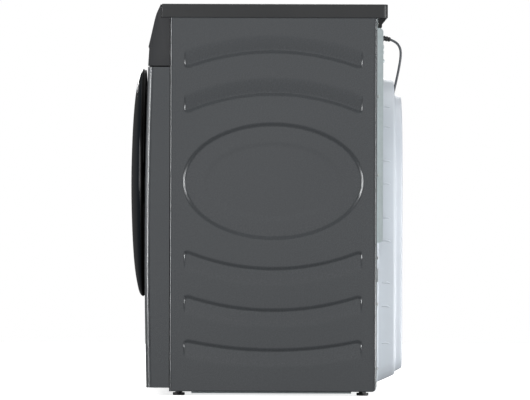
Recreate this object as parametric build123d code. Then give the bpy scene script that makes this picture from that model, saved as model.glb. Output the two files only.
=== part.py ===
"""Front load washing machine, built piece by piece.

Units are millimetres. +Z is up, the door faces -Y and +X is the right side seen from the front.
The origin is on the floor, under the middle of the machine.
"""

from build123d import *
import math
import os

# ---------------------------------------------------------------- driving sizes
HEIGHT = 850.0               # floor to the top of the worktop
WORKTOP_WIDTH = 596.0
WORKTOP_FRONT = -227.4
WORKTOP_REAR = 263.0
WORKTOP_THICK = 29.5
WORKTOP_CORNER = 10.0

SIDE_FACE = 297.0            # middle of the machine to the outer face of a side panel
SIDE_FRONT = -209.4
SIDE_REAR = 240.2
SIDE_BOTTOM = 9.5
SIDE_CORNER = 10.0           # rounded lower rear corner
SIDE_FLANGE = 16.0
SHEET = 1.2                  # cabinet sheet metal
FOLD = 5.0                   # outer radius of a folded edge

RIB_HALF_LENGTH = 194.0      # pressed ribs of the side panels
RIB_WIDTH = 41.0
RIB_SLOPE = 8.0
PRESS_DEPTH = 3.0
RIB_HEIGHTS = [(764.0, 729.0), (672.0, 632.0), (258.5, 296.5), (168.5, 200.0), (82.0, 103.0)]
OVAL_HALF_LENGTH = 197.0
OVAL_HALF_HEIGHT = 127.0
OVAL_CENTRE = 465.6
OVAL_INNER = (152.5, 88.0)
OVAL_INNER_DEPTH = 1.2

PANEL_MID = 297.0            # half width of the front panel and the control panel
FRONT_BOTTOM = 17.3
FRONT_TOP = 713.0
PANEL_GAP = 2.5
FRONT_Y_TOP = -256.6
FRONT_Y_BULGE = -263.0
FRONT_Z_BULGE = 260.0
FRONT_Y_BOTTOM = -258.8
FRONT_CORNER = 12.0

CONTROL_BOTTOM = FRONT_TOP + PANEL_GAP
CONTROL_FACE = [(-256.6, CONTROL_BOTTOM), (-254.3, 752.0), (-255.8, 757.0), (-242.4, 815.5), (-238.7, 828.5),
                (-229.4, HEIGHT - 1.0)]
CONTROL_WALL = 2.5

DRUM_Z = 461.0               # height of the drum and door axis
DRUM_RADIUS = 238.0
DRUM_FRONT = -166.0
DRUM_BACK = 182.0
DRUM_MOUTH = 160.0
DRUM_SHEET = 1.5
TUB_RADIUS = 256.0
TUB_WALL = 4.0
TUB_FRONT = -194.0
TUB_SPLIT = -60.0
TUB_BACK = 212.0
TUB_MOUTH = 172.0
TUB_FLANGE = 266.0

SHAFT_RADIUS = 12.5
BEARING_RADIUS = 26.0
BEARING_LENGTH = 15.0
PULLEY_Y = 268.0             # middle of the belt
PULLEY_RADIUS = 140.0
MOTOR_PULLEY_RADIUS = 12.0
MOTOR_X = 25.0
MOTOR_Z = 128.0
MOTOR_RADIUS = 62.0
MOTOR_LENGTH = 130.0
BELT_WIDTH = 14.0
BELT_THICK = 3.0

DOOR_APEX = -298.75
DOOR_RADIUS = 252.0
DOOR_RIM_SETBACK = 26.0
DOOR_WALL = 3.0
DOOR_BACK = -266.0
GLASS_RADIUS = 154.0
GLASS_END_RADIUS = 122.0
GLASS_END = -184.0
GLASS_WALL = 5.0
PORTHOLE = 178.0             # hole in the front panel
HINGE_X = -250.5
HINGE_Y = -273.0
HINGE_PIN = 2.5

REAR_PAD = (240.0, 284.0, 333.0, 799.0)   # x range and z range of the raised strips on the rear panel
REAR_PAD_HEIGHT = 12.3
COVER_RADIUS = 235.0
COVER_BOTTOM = 26.0
COVER_STEP = 282.0
COVER_TOP_RADIUS = 197.0
COVER_TOP_BOTTOM = 50.0
COVER_APEX = 298.75
COVER_WALL = 2.0

DRAWER = (-284.0, -104.0, 726.0, 806.0)   # x range and z range of the drawer front
DRAWER_FRONT_THICK = 12.0
DRAWER_BACK = 18.0
DRAWER_WALL = 2.0
KNOB_X = 0.0
KNOB_Z = 780.0
KNOB_RADIUS = 24.0
DISH_MOUTH = 32.0            # the knob sits in a dish, so that it stays below the control face
DISH_DEPTH = 12.0
BUTTON_Z = 780.0
POWER_X = 70.0
START_X = 264.0
BUTTON_RADIUS = 8.0
BOARD_DEPTH = 22.0           # from the control face to the back of the circuit board
BOARD_THICK = 1.6
SWITCH_DEPTH = 14.0          # from the control face to the tips of the key switches

TRAY_BOTTOM = 15.0
TRAY_TOP = 38.0
TRAY_WALL = 2.0
TRAY_MARGIN = 4.0            # keeps the tray clear of the side panels' rounded lower corners
LIP_Y = (-161.0, 186.0)      # the lip under the tray runs between the feet
FOOT_X = 255.0
FOOT_FRONT_Y = -188.5
FOOT_REAR_Y = 211.0
FOOT_RADIUS = 13.0
FOOT_HEIGHT = 9.0
FOOT_STEM = 5.0

SPRING_X = 232.0
SPRING_Y = 50.0
SPRING_RADIUS = 12.0
DAMPER_X = 170.0
DAMPER_RADIUS = 16.0

CORD = 5.5                   # diameter of the mains lead
CORD_REST = CORD / 2 + 0.2   # height of the lead's middle where it lies on the floor
CORD_X = -150.0
CORD_EXIT_Z = 791.7
GAP = 0.3                    # space between pieces that move past each other
FIT = 0.05                   # radial running fit of a shaft
SEAT = 0.3                   # space between a soft piece and what it sits in


# ---------------------------------------------------------------- shape helpers
def block(x0, x1, y0, y1, z0, z1):
    """A box given by its two corners."""
    return Pos((x0 + x1) / 2, (y0 + y1) / 2, (z0 + z1) / 2) * Box(x1 - x0, y1 - y0, z1 - z0)


def rod_y(radius, y0, y1, x=0.0, z=0.0):
    """A cylinder that runs front to back."""
    return Pos(x, (y0 + y1) / 2, z) * Rot(90, 0, 0) * Cylinder(radius, y1 - y0)


def rod_x(radius, x0, x1, y=0.0, z=0.0):
    """A cylinder that runs side to side."""
    return Pos((x0 + x1) / 2, y, z) * Rot(0, 90, 0) * Cylinder(radius, x1 - x0)


def rod_z(radius, z0, z1, x=0.0, y=0.0):
    """An upright cylinder."""
    return Pos(x, y, (z0 + z1) / 2) * Cylinder(radius, z1 - z0)


def ring_y(outer, inner, y0, y1, x=0.0, z=0.0):
    """A tube that runs front to back."""
    return rod_y(outer, y0, y1, x, z) - rod_y(inner, y0 - 1, y1 + 1, x, z)


def turned(points, x=0.0, z=DRUM_Z):
    """A closed outline of (radius, y) points, turned about an axis that runs front to back."""
    outline = make_face(Polyline(*points, close=True))
    return Pos(x, 0, z) * revolve(outline, Axis.Y)


def face_yz(outline, x):
    """A sketch drawn in (y, z), set at x."""
    return Pos(x, 0, 0) * (Plane.YZ * outline)


def face_xz(outline, y):
    """A sketch drawn in (x, z), set at y, that faces the rear."""
    return Plane(origin=(0, y, 0), x_dir=(-1, 0, 0), z_dir=(0, 1, 0)) * (mirror(outline, Plane.YZ))


def group(solids):
    """Separate solids kept in one file."""
    return Compound(children=[solid for solid in solids])


def both_sides(solid):
    """The solid and its mirror image on the other side of the machine."""
    return [solid, mirror(solid, Plane.YZ)]


SCREW_RADIUS = 2.0
SCREW_HEAD = 3.4
REAR_SCREW_X = SIDE_FACE - 9.0
REAR_SCREW_ZS = [60.0, 200.0, 300.0, 480.0, 650.0, 808.0]


def rear_screw_shanks(radius):
    """The shanks of the screws that hold the rear panel to the side panels."""
    places = [(sign * REAR_SCREW_X, z) for sign in (-1, 1) for z in REAR_SCREW_ZS]
    return Compound(children=[rod_y(radius, SIDE_REAR - 7, SIDE_REAR + SHEET, x, z) for x, z in places])


def cabinet_screws():
    """The pan-head screws of the rear panel."""
    face = SIDE_REAR + SHEET
    screws = []
    for sign in (-1, 1):
        for z in REAR_SCREW_ZS:
            x = sign * REAR_SCREW_X
            head = rod_y(SCREW_HEAD, face, face + 2.2, x, z)
            head = fillet(head.edges().group_by(Axis.Y)[-1], 1)
            screws.append(head + rod_y(SCREW_RADIUS, SIDE_REAR - 7, face, x, z))
    return group(screws)


# ---------------------------------------------------------------- side panels
def side_outline(inset):
    """The side panel's outline in (y, z), drawn in by inset, with its lower rear corner rounded."""
    top = HEIGHT - WORKTOP_THICK
    middle = Pos((SIDE_FRONT + SIDE_REAR) / 2, (SIDE_BOTTOM + top) / 2)
    outline = middle * Rectangle(SIDE_REAR - SIDE_FRONT - 2 * inset, top - SIDE_BOTTOM - 2 * inset)
    corner = outline.vertices().sort_by(lambda v: v.X - v.Y)[-1]
    return fillet(corner, SIDE_CORNER - inset)


def side_slab(inset, back):
    """The space inside the side panel's folded edges; an inset of 0 gives its outer shape."""
    slab = extrude(face_yz(side_outline(inset), SIDE_FACE - back), back - inset)
    outer_face = slab.faces().sort_by(Axis.X)[-1]
    return fillet(outer_face.edges(), FOLD - inset)


def rib_pressing(middle_z, end_z):
    """One curved rib with sloping walls, as the solid that is pressed out of the panel's face."""
    middle_y = (SIDE_FRONT + SIDE_REAR) / 2
    reach = RIB_HALF_LENGTH - RIB_WIDTH / 2
    line = ThreePointArc((middle_y - reach, end_z), (middle_y, middle_z), (middle_y + reach, end_z))
    mouth = face_yz(SlotArc(line, RIB_WIDTH), SIDE_FACE)
    floor = face_yz(SlotArc(line, RIB_WIDTH - 2 * RIB_SLOPE), SIDE_FACE - PRESS_DEPTH)
    return loft([mouth, floor], ruled=True)


def oval_pressing():
    """The large oval: a sloping ring wall, then a field that rises again towards its middle."""
    centre = Pos((SIDE_FRONT + SIDE_REAR) / 2, OVAL_CENTRE)
    mouth = centre * Ellipse(OVAL_HALF_LENGTH, OVAL_HALF_HEIGHT)
    floor = centre * Ellipse(OVAL_HALF_LENGTH - RIB_SLOPE, OVAL_HALF_HEIGHT - RIB_SLOPE)
    field = centre * Ellipse(*OVAL_INNER)
    floor_x = SIDE_FACE - PRESS_DEPTH
    ring = loft([face_yz(mouth, SIDE_FACE), face_yz(floor, floor_x)])
    rise = loft([face_yz(floor, floor_x), face_yz(field, SIDE_FACE - OVAL_INNER_DEPTH)])
    return ring - rise


def side_panel():
    """The right side panel: pressed sheet with its four edges folded in."""
    pressings = [rib_pressing(middle_z, end_z) for middle_z, end_z in RIB_HEIGHTS] + [oval_pressing()]
    outer = side_slab(0, SIDE_FLANGE)
    inner = side_slab(SHEET, SIDE_FLANGE + 1)
    for pressing in pressings:
        outer = outer - pressing
        inner = inner - Pos(-SHEET, 0, 0) * pressing
    return outer - inner - rear_screw_shanks(SCREW_RADIUS + FIT)


# ---------------------------------------------------------------- front panel and filter flap
FLAP = (140.0, 262.0, 32.0, 136.0)        # x range and z range of the hole for the filter flap
FLAP_GAP = 0.8
FLAP_THICK = 3.0
FLAP_PIN = FLAP_THICK / 2 - 0.05          # the rolled lower edge turns on itself
LOCK_X = 206.0
LOCK_SLOT = (10.0, 34.0)                  # width and height of the slot for the door hook


def front_slab(inset, back):
    """The front panel's bulged outer shape; with an inset, the space inside its sheet."""
    bottom = (FRONT_Y_BOTTOM + inset, FRONT_BOTTOM + inset)
    top = (FRONT_Y_TOP + inset, FRONT_TOP - inset)
    face = ThreePointArc(bottom, (FRONT_Y_BULGE + inset, FRONT_Z_BULGE), top)
    rest = Polyline(top, (back, top[1]), (back, bottom[1]), bottom)
    half = PANEL_MID - inset
    slab = extrude(face_yz(make_face(face + rest), -half), 2 * half)
    corners = [edge for edge in slab.edges() if edge.length > 600 and edge.center().Y < -250]
    return fillet(corners, FRONT_CORNER - inset)


def front_y(z):
    """The y of the front panel's face at a height, on the arc through its three named points."""
    ends = [(FRONT_Y_BOTTOM, FRONT_BOTTOM), (FRONT_Y_BULGE, FRONT_Z_BULGE), (FRONT_Y_TOP, FRONT_TOP)]
    arc = ThreePointArc(*ends)
    centre = arc.arc_center
    return centre.X - math.sqrt(arc.radius ** 2 - (z - centre.Y) ** 2)


def flap_hole(gap):
    """The block that cuts the filter flap's hole, or with a gap the flap itself."""
    x0, x1, z0, z1 = FLAP
    return block(x0 + gap, x1 - gap, -280, -240, z0 + gap, z1 - gap)


def front_panel():
    """The bulged front sheet with the porthole, the lock slot and the hole for the filter flap."""
    sheet = front_slab(0, SIDE_FRONT) - front_slab(SHEET, SIDE_FRONT + 1)
    sheet = sheet - rod_y(PORTHOLE, -280, -230, 0, DRUM_Z)
    collar_front = front_y(DRUM_Z) + 3
    sheet = sheet + ring_y(PORTHOLE + SHEET, PORTHOLE, collar_front, collar_front + 8, 0, DRUM_Z)
    width, tall = LOCK_SLOT
    sheet = sheet - block(LOCK_X - width / 2, LOCK_X + width / 2, -280, -240, DRUM_Z - tall / 2, DRUM_Z + tall / 2)
    sheet = sheet - flap_hole(0)
    floor_lip = block(FLAP[0], FLAP[1], front_y(FLAP[2]) + 1, -240, FLAP[2] - 4, FLAP[2] - 2)
    return sheet + floor_lip


def filter_flap():
    """The service flap, flush with the front panel, with its hinge pin along the lower edge."""
    skin = front_slab(0, SIDE_FRONT) & flap_hole(FLAP_GAP)
    skin = skin - Pos(0, FLAP_THICK, 0) * front_slab(0, SIDE_FRONT + 20)
    x0, x1, z0, z1 = FLAP
    pin_z = z0 + FLAP_GAP + FLAP_PIN
    skin = skin - block(x0, x1, -280, -240, z0, pin_z)
    pin = rod_x(FLAP_PIN, x0 + FLAP_GAP, x1 - FLAP_GAP, flap_pin_y(), pin_z)
    catch_y = front_y(z1) + FLAP_THICK - 1
    catch = block((x0 + x1) / 2 - 8, (x0 + x1) / 2 + 8, catch_y, catch_y + 9, z1 - 8, z1 - 4)
    return skin + pin + catch


def flap_pin_y():
    """How far back the flap's hinge pin lies."""
    return front_y(FLAP[2] + FLAP_GAP + FLAP_PIN) + FLAP_THICK / 2


# ---------------------------------------------------------------- worktop, rails and base
def worktop():
    """The worktop board, with a rebate underneath that sits over the rails."""
    bottom = HEIGHT - WORKTOP_THICK
    half = WORKTOP_WIDTH / 2
    board = block(-half, half, WORKTOP_FRONT, WORKTOP_REAR, bottom, HEIGHT)
    upright = board.edges().filter_by(Axis.Z).group_by(Axis.Y)[-1]
    board = fillet(upright, WORKTOP_CORNER)
    board = fillet(board.faces().sort_by(Axis.Z)[-1].edges(), 2.5)
    rim = 22.0
    rebate_depth = 9.0
    rebate = block(-half + rim, half - rim, WORKTOP_FRONT + rim, WORKTOP_REAR - rim - 18,
                   bottom - 1, bottom + rebate_depth)
    return board - rebate


RAIL_HEIGHT = 14.0
RAIL_WIDTH = 34.0
RAIL_YS = [-188.0, SPRING_Y, 215.0]


def rail_top():
    """The underside of the side panels' top edges, where the rails are fixed."""
    return HEIGHT - WORKTOP_THICK - SHEET


def rail(y):
    """One channel-section rail from side panel to side panel."""
    top = rail_top()
    half = SIDE_FACE - FOLD - 0.5
    wide = RAIL_WIDTH / 2
    bar = block(-half, half, y - wide, y + wide, top - RAIL_HEIGHT, top)
    return bar - block(-half - 1, half + 1, y - wide + 1.5, y + wide - 1.5, top - RAIL_HEIGHT + 1.5, top + 1)


def top_rails():
    """The three rails that tie the side panels together at the top."""
    return group([rail(y) for y in RAIL_YS])


def worktop_brackets():
    """Two moulded angle brackets that hold the worktop to the rear panel."""
    top = HEIGHT - WORKTOP_THICK
    face = SIDE_REAR + SHEET
    plate = block(225, 275, face, face + 2, top - 18, top)
    foot = block(225, 275, face, face + 12, top - 2, top)
    gusset = extrude(face_yz(make_face(Polyline((face, top), (face + 12, top), (face, top - 16), close=True)), 248), 3)
    return group(both_sides(plate + foot + gusset))


def base_tray():
    """The floor pan with a boss over each foot and a lip that hangs down between the feet."""
    half = SIDE_FACE - SHEET
    back = SIDE_REAR - SHEET - TRAY_MARGIN
    front = SIDE_FRONT + SHEET + 0.2
    pan = block(-half, half, front, back, TRAY_BOTTOM, TRAY_TOP)
    pan = fillet(pan.edges().filter_by(Axis.Z), 6)
    inner = block(-half + TRAY_WALL, half - TRAY_WALL, front + TRAY_WALL, back - TRAY_WALL,
                  TRAY_BOTTOM + TRAY_WALL, TRAY_TOP + 1)
    pan = pan - fillet(inner.edges().filter_by(Axis.Z), 5)
    for sign in (-1, 1):
        lip_x = sign * (SIDE_FACE - SIDE_FLANGE - 2)
        pan = pan + block(lip_x - 1, lip_x + 1, *LIP_Y, 5, TRAY_BOTTOM + 1)
    for x, y in foot_places():
        pan = pan + rod_z(14, FOOT_HEIGHT + GAP, TRAY_TOP - 8, x, y)
    for x, y in foot_places():
        pan = pan - rod_z(FOOT_STEM + GAP, 0, TRAY_TOP + 1, x, y)
    for x in (-DAMPER_X, DAMPER_X):
        pan = pan + block(x - 20, x + 20, -20, 20, TRAY_BOTTOM + 1, TRAY_TOP - 14)
    return pan


def foot_places():
    """The x and y of the four feet: front left, front right, rear left, rear right."""
    return [(x, y) for y in (FOOT_FRONT_Y, FOOT_REAR_Y) for x in (-FOOT_X, FOOT_X)]


def levelling_foot(x, y):
    """A round pad with a hexagon collar and a threaded stem."""
    pad = rod_z(FOOT_RADIUS, 0, FOOT_HEIGHT - 3, x, y)
    pad = fillet(pad.edges().group_by(Axis.Z)[0], 1.5)
    collar = Pos(x, y, FOOT_HEIGHT - 3) * extrude(RegularPolygon(9, 6), 3)
    return pad + collar + rod_z(FOOT_STEM, FOOT_HEIGHT - 1, TRAY_TOP + 6, x, y)


# ---------------------------------------------------------------- rear panel and its cover
def arch(radius, bottom, corner):
    """The rear cover's outline in (x, z): a half round top and straight sides down to a bottom edge."""
    top = Pos(0, DRUM_Z) * Circle(radius)
    legs = Pos(0, (DRUM_Z + bottom) / 2) * Rectangle(2 * radius, DRUM_Z - bottom)
    outline = top + legs
    feet = outline.vertices().group_by(Axis.Y)[0]
    return fillet(feet, corner)


def arch_block(low, high, y0, y1):
    """A block with sloping walls from one arch outline to another, each (radius, bottom, corner)."""
    return loft([face_xz(arch(*low), y0), face_xz(arch(*high), y1)], ruled=True)


def cover_shape(inset):
    """The two-level dome of the rear cover, drawn in by inset."""
    base = SIDE_REAR + SHEET
    low = (COVER_RADIUS - inset, COVER_BOTTOM + inset, 40 - inset)
    step = (COVER_RADIUS - 6 - inset, COVER_BOTTOM + 18 + inset, 36 - inset)
    field = (COVER_TOP_RADIUS - inset, COVER_TOP_BOTTOM + inset, 34 - inset)
    top = (COVER_TOP_RADIUS - 4 - inset, COVER_TOP_BOTTOM + 8 + inset, 30 - inset)
    lower = arch_block(low, step, base - (1 if inset else 0), COVER_STEP - inset)
    upper = arch_block(field, top, COVER_STEP - inset - 1, COVER_APEX - inset)
    return lower + upper


def rear_cover():
    """The domed plastic cover over the belt, with its rim against the rear panel."""
    base = SIDE_REAR + SHEET
    rim = extrude(face_xz(arch(COVER_RADIUS + 3, COVER_BOTTOM - 2, 42), base), COVER_WALL)
    return rim + cover_shape(0) - cover_shape(COVER_WALL)


INLET_X = -215.0
INLET_Z = 765.0
INLET_RADIUS = 13.2           # G3/4 thread
INLET_COLLAR = 15.5           # shoulder that stands in the rear panel's hole
SPOUT_X = -258.0
SPOUT_Z = 110.0
SPOUT_RADIUS = 11.0
SPOUT_PIPE = 9.5
SPOUT_BORE = 8.0
CAP_PLACES = [(-200.0, 718.0), (200.0, 718.0), (-264.0, 262.0), (264.0, 262.0)]
CAP_RADIUS = 15.0


def rear_strip(inset, x0, x1, z0, z1):
    """One raised strip of the rear panel with its outer corners rounded."""
    back = SIDE_REAR + SHEET + REAR_PAD_HEIGHT - inset
    strip = block(x0 + inset, x1 - inset, SIDE_REAR - (1 if inset else 0), back, z0 + inset, z1 - inset)
    ends = strip.edges().filter_by(Axis.X).group_by(Axis.Y)[-1]
    return fillet(ends, 9 - inset)


def rear_panel():
    """The rear sheet, open behind the drum, with two raised strips and the holes for the services."""
    base = SIDE_REAR
    half = SIDE_FACE - FOLD - 1
    top = HEIGHT - WORKTOP_THICK - 1
    sheet = block(-half, half, base, base + SHEET, 20, top)
    for strip in both_sides(rear_strip(0, *REAR_PAD)):
        sheet = sheet + strip
    for strip in both_sides(rear_strip(SHEET, *REAR_PAD)):
        sheet = sheet - strip
    sheet = sheet - extrude(face_xz(arch(COVER_RADIUS - 12, COVER_BOTTOM + 24, 30), base - 2), 6)
    holes = [(INLET_X, INLET_Z, INLET_COLLAR + GAP), (SPOUT_X, SPOUT_Z, SPOUT_PIPE + GAP),
             (CORD_X, CORD_EXIT_Z, 6 + GAP)]
    holes += [(x, z, CAP_RADIUS - 5) for x, z in CAP_PLACES]
    for x, z, radius in holes:
        sheet = sheet - rod_y(radius, base - 2, base + 4, x, z)
    return sheet - rear_screw_shanks(SCREW_RADIUS + FIT)


def transit_bolt_caps():
    """Plastic plugs in the four holes that the transit bolts left."""
    face = SIDE_REAR + SHEET
    caps = []
    for x, z in CAP_PLACES:
        head = rod_y(CAP_RADIUS, face, face + 3, x, z)
        caps.append(fillet(head.edges().group_by(Axis.Y)[-1], 1.5) + rod_y(CAP_RADIUS - 5.5, face - 8, face, x, z))
    return group(caps)


def water_inlet_valve():
    """The solenoid valve with its threaded spigot through the rear panel."""
    body = block(INLET_X - 18, INLET_X + 18, SIDE_REAR - 34, SIDE_REAR, INLET_Z - 16, INLET_Z + 16)
    collar = rod_y(INLET_COLLAR, SIDE_REAR - 1, SIDE_REAR + SHEET + 1, INLET_X, INLET_Z)
    spigot = rod_y(INLET_RADIUS, SIDE_REAR, SIDE_REAR + 14, INLET_X, INLET_Z)
    bore = rod_y(9, SIDE_REAR - 12, SIDE_REAR + 15, INLET_X, INLET_Z)
    coil = rod_z(13, INLET_Z + 10, INLET_Z + 38, INLET_X, SIDE_REAR - 20)
    outlet = rod_y(6, SIDE_REAR - 60, SIDE_REAR - 30, INLET_X, INLET_Z)
    return body + collar + spigot + coil + outlet - bore


def drain_spout():
    """The drain outlet at the lower rear corner, ready for a hose."""
    face = SIDE_REAR + SHEET
    flange = ring_y(17, SPOUT_BORE, face, face + 3, SPOUT_X, SPOUT_Z)
    pipe = ring_y(SPOUT_PIPE, SPOUT_BORE, SIDE_REAR - 45, face + 3, SPOUT_X, SPOUT_Z)
    nozzle = ring_y(SPOUT_RADIUS, SPOUT_BORE, face + 3, face + 13, SPOUT_X, SPOUT_Z)
    return flange + pipe + nozzle


# ---------------------------------------------------------------- control panel
def fascia_tilt():
    """The slope of the control face from upright, in degrees."""
    low, high = CONTROL_FACE[2], CONTROL_FACE[3]
    return math.degrees(math.atan2(high[0] - low[0], high[1] - low[1]))


def fascia_plane(x, z, depth=0.0):
    """A plane on the control face at (x, z) that looks out of the machine, moved out by depth."""
    low = CONTROL_FACE[2]
    tilt = math.radians(fascia_tilt())
    out = Vector(0, -math.cos(tilt), math.sin(tilt))
    y = low[0] + (z - low[1]) * math.tan(tilt)
    return Plane(origin=Vector(x, y, z) + out * depth, x_dir=(1, 0, 0), z_dir=out)


def on_fascia(x, z, radius, start, end):
    """A round solid that stands on the control face, from start to end along its normal."""
    return extrude(fascia_plane(x, z, start) * Circle(radius), end - start)


def fascia_plate(x0, x1, z0, z1, start, end, corner):
    """A plate that lies on the control face."""
    tall = (z1 - z0) / math.cos(math.radians(fascia_tilt()))
    plane = fascia_plane((x0 + x1) / 2, (z0 + z1) / 2, start)
    return extrude(plane * RectangleRounded(x1 - x0, tall, corner), end - start)


def control_outline(inset):
    """The control panel's end profile in (y, z), drawn in by inset."""
    shelf = HEIGHT - WORKTOP_THICK - GAP
    back = WORKTOP_FRONT - 1.0
    points = CONTROL_FACE + [(back, HEIGHT - 1.0), (back, shelf), (SIDE_FRONT, shelf), (SIDE_FRONT, CONTROL_BOTTOM)]
    outline = make_face(Polyline(*points, close=True))
    return offset(outline, -inset, kind=Kind.INTERSECTION) if inset else outline


def control_solid(inset):
    """The control panel as a filled solid, or the space inside its wall."""
    half = PANEL_MID - inset
    return extrude(face_yz(control_outline(inset), -half), 2 * half)


def knob_dish(wall=0.0):
    """The dish that the knob sits in, as a solid, made larger by a wall."""
    depth = DISH_DEPTH + wall
    over = 8.0
    floor_radius = KNOB_RADIUS + 1.0 + wall
    slope = (DISH_MOUTH - KNOB_RADIUS - 1.0) / DISH_DEPTH
    dish = Cone(floor_radius, floor_radius + slope * (depth + over), depth + over)
    return fascia_plane(KNOB_X, KNOB_Z, (over - depth) / 2) * dish


DISPLAY = (92.0, 244.0, 760.0, 800.0)   # x range and z range of the display window
DISPLAY_SEAT = 1.5                      # depth that the window is let in


def control_panel():
    """The control housing: a shell open at the back, with the drawer's hole and the holes for the controls."""
    half = PANEL_MID - CONTROL_WALL
    shell = control_solid(0) - control_solid(CONTROL_WALL)
    shelf = HEIGHT - WORKTOP_THICK - GAP
    shell = shell - block(-half, half, SIDE_FRONT - 8, SIDE_FRONT + 1, CONTROL_BOTTOM + CONTROL_WALL,
                          shelf - CONTROL_WALL)
    x0, x1, z0, z1 = DRAWER
    shell = shell - block(x0, x1, -270, SIDE_FRONT - 9, z0, z1)
    shell = shell + (knob_dish(CONTROL_WALL) & control_solid(0)) - knob_dish()
    shell = shell - on_fascia(KNOB_X, KNOB_Z, KNOB_SHAFT + 2, -BOARD_DEPTH, 10)
    for x in (POWER_X, START_X):
        shell = shell - on_fascia(x, BUTTON_Z, BUTTON_RADIUS + GAP, -BOARD_DEPTH, 10)
    shell = shell - fascia_plate(*DISPLAY, -DISPLAY_SEAT, 6, 4)
    return shell


def display_window():
    """The dark window over the display, let into the control face."""
    x0, x1, z0, z1 = DISPLAY
    return fascia_plate(x0 + 0.2, x1 - 0.2, z0 + 0.2, z1 - 0.2, -DISPLAY_SEAT, 0.3, 4)


KNOB_SHAFT = 3.0
SHAFT_DEPTH = BOARD_DEPTH - BOARD_THICK - 2.0   # from the control face to the knob shaft's end


def control_board():
    """The circuit board behind the controls, with the selector, the display block and the key switches."""
    top = BOARD_THICK - BOARD_DEPTH
    middle_x = (KNOB_X - 30 + START_X + 6) / 2
    board = extrude(fascia_plane(middle_x, 768, -BOARD_DEPTH) * Rectangle(START_X - KNOB_X + 36, 56), BOARD_THICK)
    for x in (106, 163, 220):
        board = board + extrude(fascia_plane(x, 780, top - 0.1) * Rectangle(44, 22), 15)
    for x in (POWER_X, START_X):
        board = board + on_fascia(x, BUTTON_Z, 5, top - 0.1, -SWITCH_DEPTH)
    selector = on_fascia(KNOB_X, KNOB_Z, 12, top - 0.1, -DISH_DEPTH - CONTROL_WALL - 0.5)
    return board + selector - on_fascia(KNOB_X, KNOB_Z, KNOB_SHAFT + GAP, -SHAFT_DEPTH - GAP, 0)


def program_knob():
    """The programme selector: a round grip on a skirt, level with the control face, with a mark and a shaft."""
    skirt = on_fascia(KNOB_X, KNOB_Z, KNOB_RADIUS, GAP - DISH_DEPTH, 4 - DISH_DEPTH)
    grip = on_fascia(KNOB_X, KNOB_Z, KNOB_RADIUS - 3, 3 - DISH_DEPTH, -0.5)
    grip = fillet(grip.edges().sort_by(lambda e: e.center().Y)[0], 1.5)
    shaft = on_fascia(KNOB_X, KNOB_Z, KNOB_SHAFT, -SHAFT_DEPTH, 1 - DISH_DEPTH)
    mark = extrude(fascia_plane(KNOB_X, KNOB_Z + 12, -1.0) * Rectangle(2.4, 9), 1)
    return skirt + grip + shaft + mark


def push_button(x):
    """A round key, level with the control face, with a collar behind the face that keeps it in."""
    key = on_fascia(x, BUTTON_Z, BUTTON_RADIUS, -8, 0.4)
    key = fillet(key.edges().sort_by(lambda e: e.center().Y)[0], 0.4)
    collar = on_fascia(x, BUTTON_Z, BUTTON_RADIUS + 2, -CONTROL_WALL - 3, -CONTROL_WALL - 1.2)
    plunger = on_fascia(x, BUTTON_Z, 2.5, 2.5 - SWITCH_DEPTH, -7)
    return key + collar + plunger


# ---------------------------------------------------------------- detergent drawer and its housing
def detergent_drawer():
    """The drawer: a front that follows the control face, a grip pocket and three compartments."""
    x0, x1, z0, z1 = DRAWER
    gap = 1.0
    front = control_solid(0) & block(x0 + gap, x1 - gap, -270, SIDE_FRONT - 26, z0 + gap, z1 - gap)
    middle = (x0 + x1) / 2
    pocket = block(middle - 46, middle + 46, -262, SIDE_FRONT - 29, z0 + 16, z0 + 44)
    lip = block(middle - 50, middle + 50, -266, SIDE_FRONT - 41, z0 + 36, z0 + 48)
    front = front - (pocket - lip)
    tray_x0, tray_x1 = x0 + 7, x1 - 7
    back_y = DRAWER_BACK
    tray = block(tray_x0, tray_x1, SIDE_FRONT - 27, back_y, z0 + 6, z1 - 14)
    walls = [tray_x0, tray_x0 + 62, tray_x0 + 112, tray_x1]
    for left, right in zip(walls[:-1], walls[1:]):
        tray = tray - block(left + DRAWER_WALL, right - (DRAWER_WALL if right == tray_x1 else 0),
                            SIDE_FRONT - 24, back_y - DRAWER_WALL, z0 + 6 + DRAWER_WALL, z1)
    return front + tray


def dispenser_housing():
    """The housing that the drawer runs in, with the water entry and the outlet to the tub."""
    x0, x1, z0, z1 = DRAWER
    wall = 2.0
    outer = block(x0 + 3, x1 - 3, SIDE_FRONT - 6, DRAWER_BACK + 6, z0 + 2, z1 - 1)
    inner = block(x0 + 3 + wall, x1 - 3 - wall, SIDE_FRONT - 7, DRAWER_BACK + 6 - wall, z0 + 2 + wall, z1 - 1 - wall)
    runners = [block(x, x + 2.5, SIDE_FRONT - 4, DRAWER_BACK, z0 + 3 + wall - 1, z0 + 5.7) for x in (x0 + 9, x1 - 11.5)]
    outlet = rod_z(16, z0 - 8, z0 + 3, DISPENSER_OUT_X, DISPENSER_OUT_Y)
    entry = rod_y(7, DRAWER_BACK + 5, DRAWER_BACK + 24, INLET_X, z1 - 16)
    body = outer + outlet + entry - inner
    body = body - rod_z(13, z0 - 9, z0 + 4.5, DISPENSER_OUT_X, DISPENSER_OUT_Y)
    body = body - rod_y(5, DRAWER_BACK, DRAWER_BACK + 25, INLET_X, z1 - 16)
    for runner in runners:
        body = body + runner
    return body


DISPENSER_OUT_X = -130.0
DISPENSER_OUT_Y = -20.0


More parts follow.
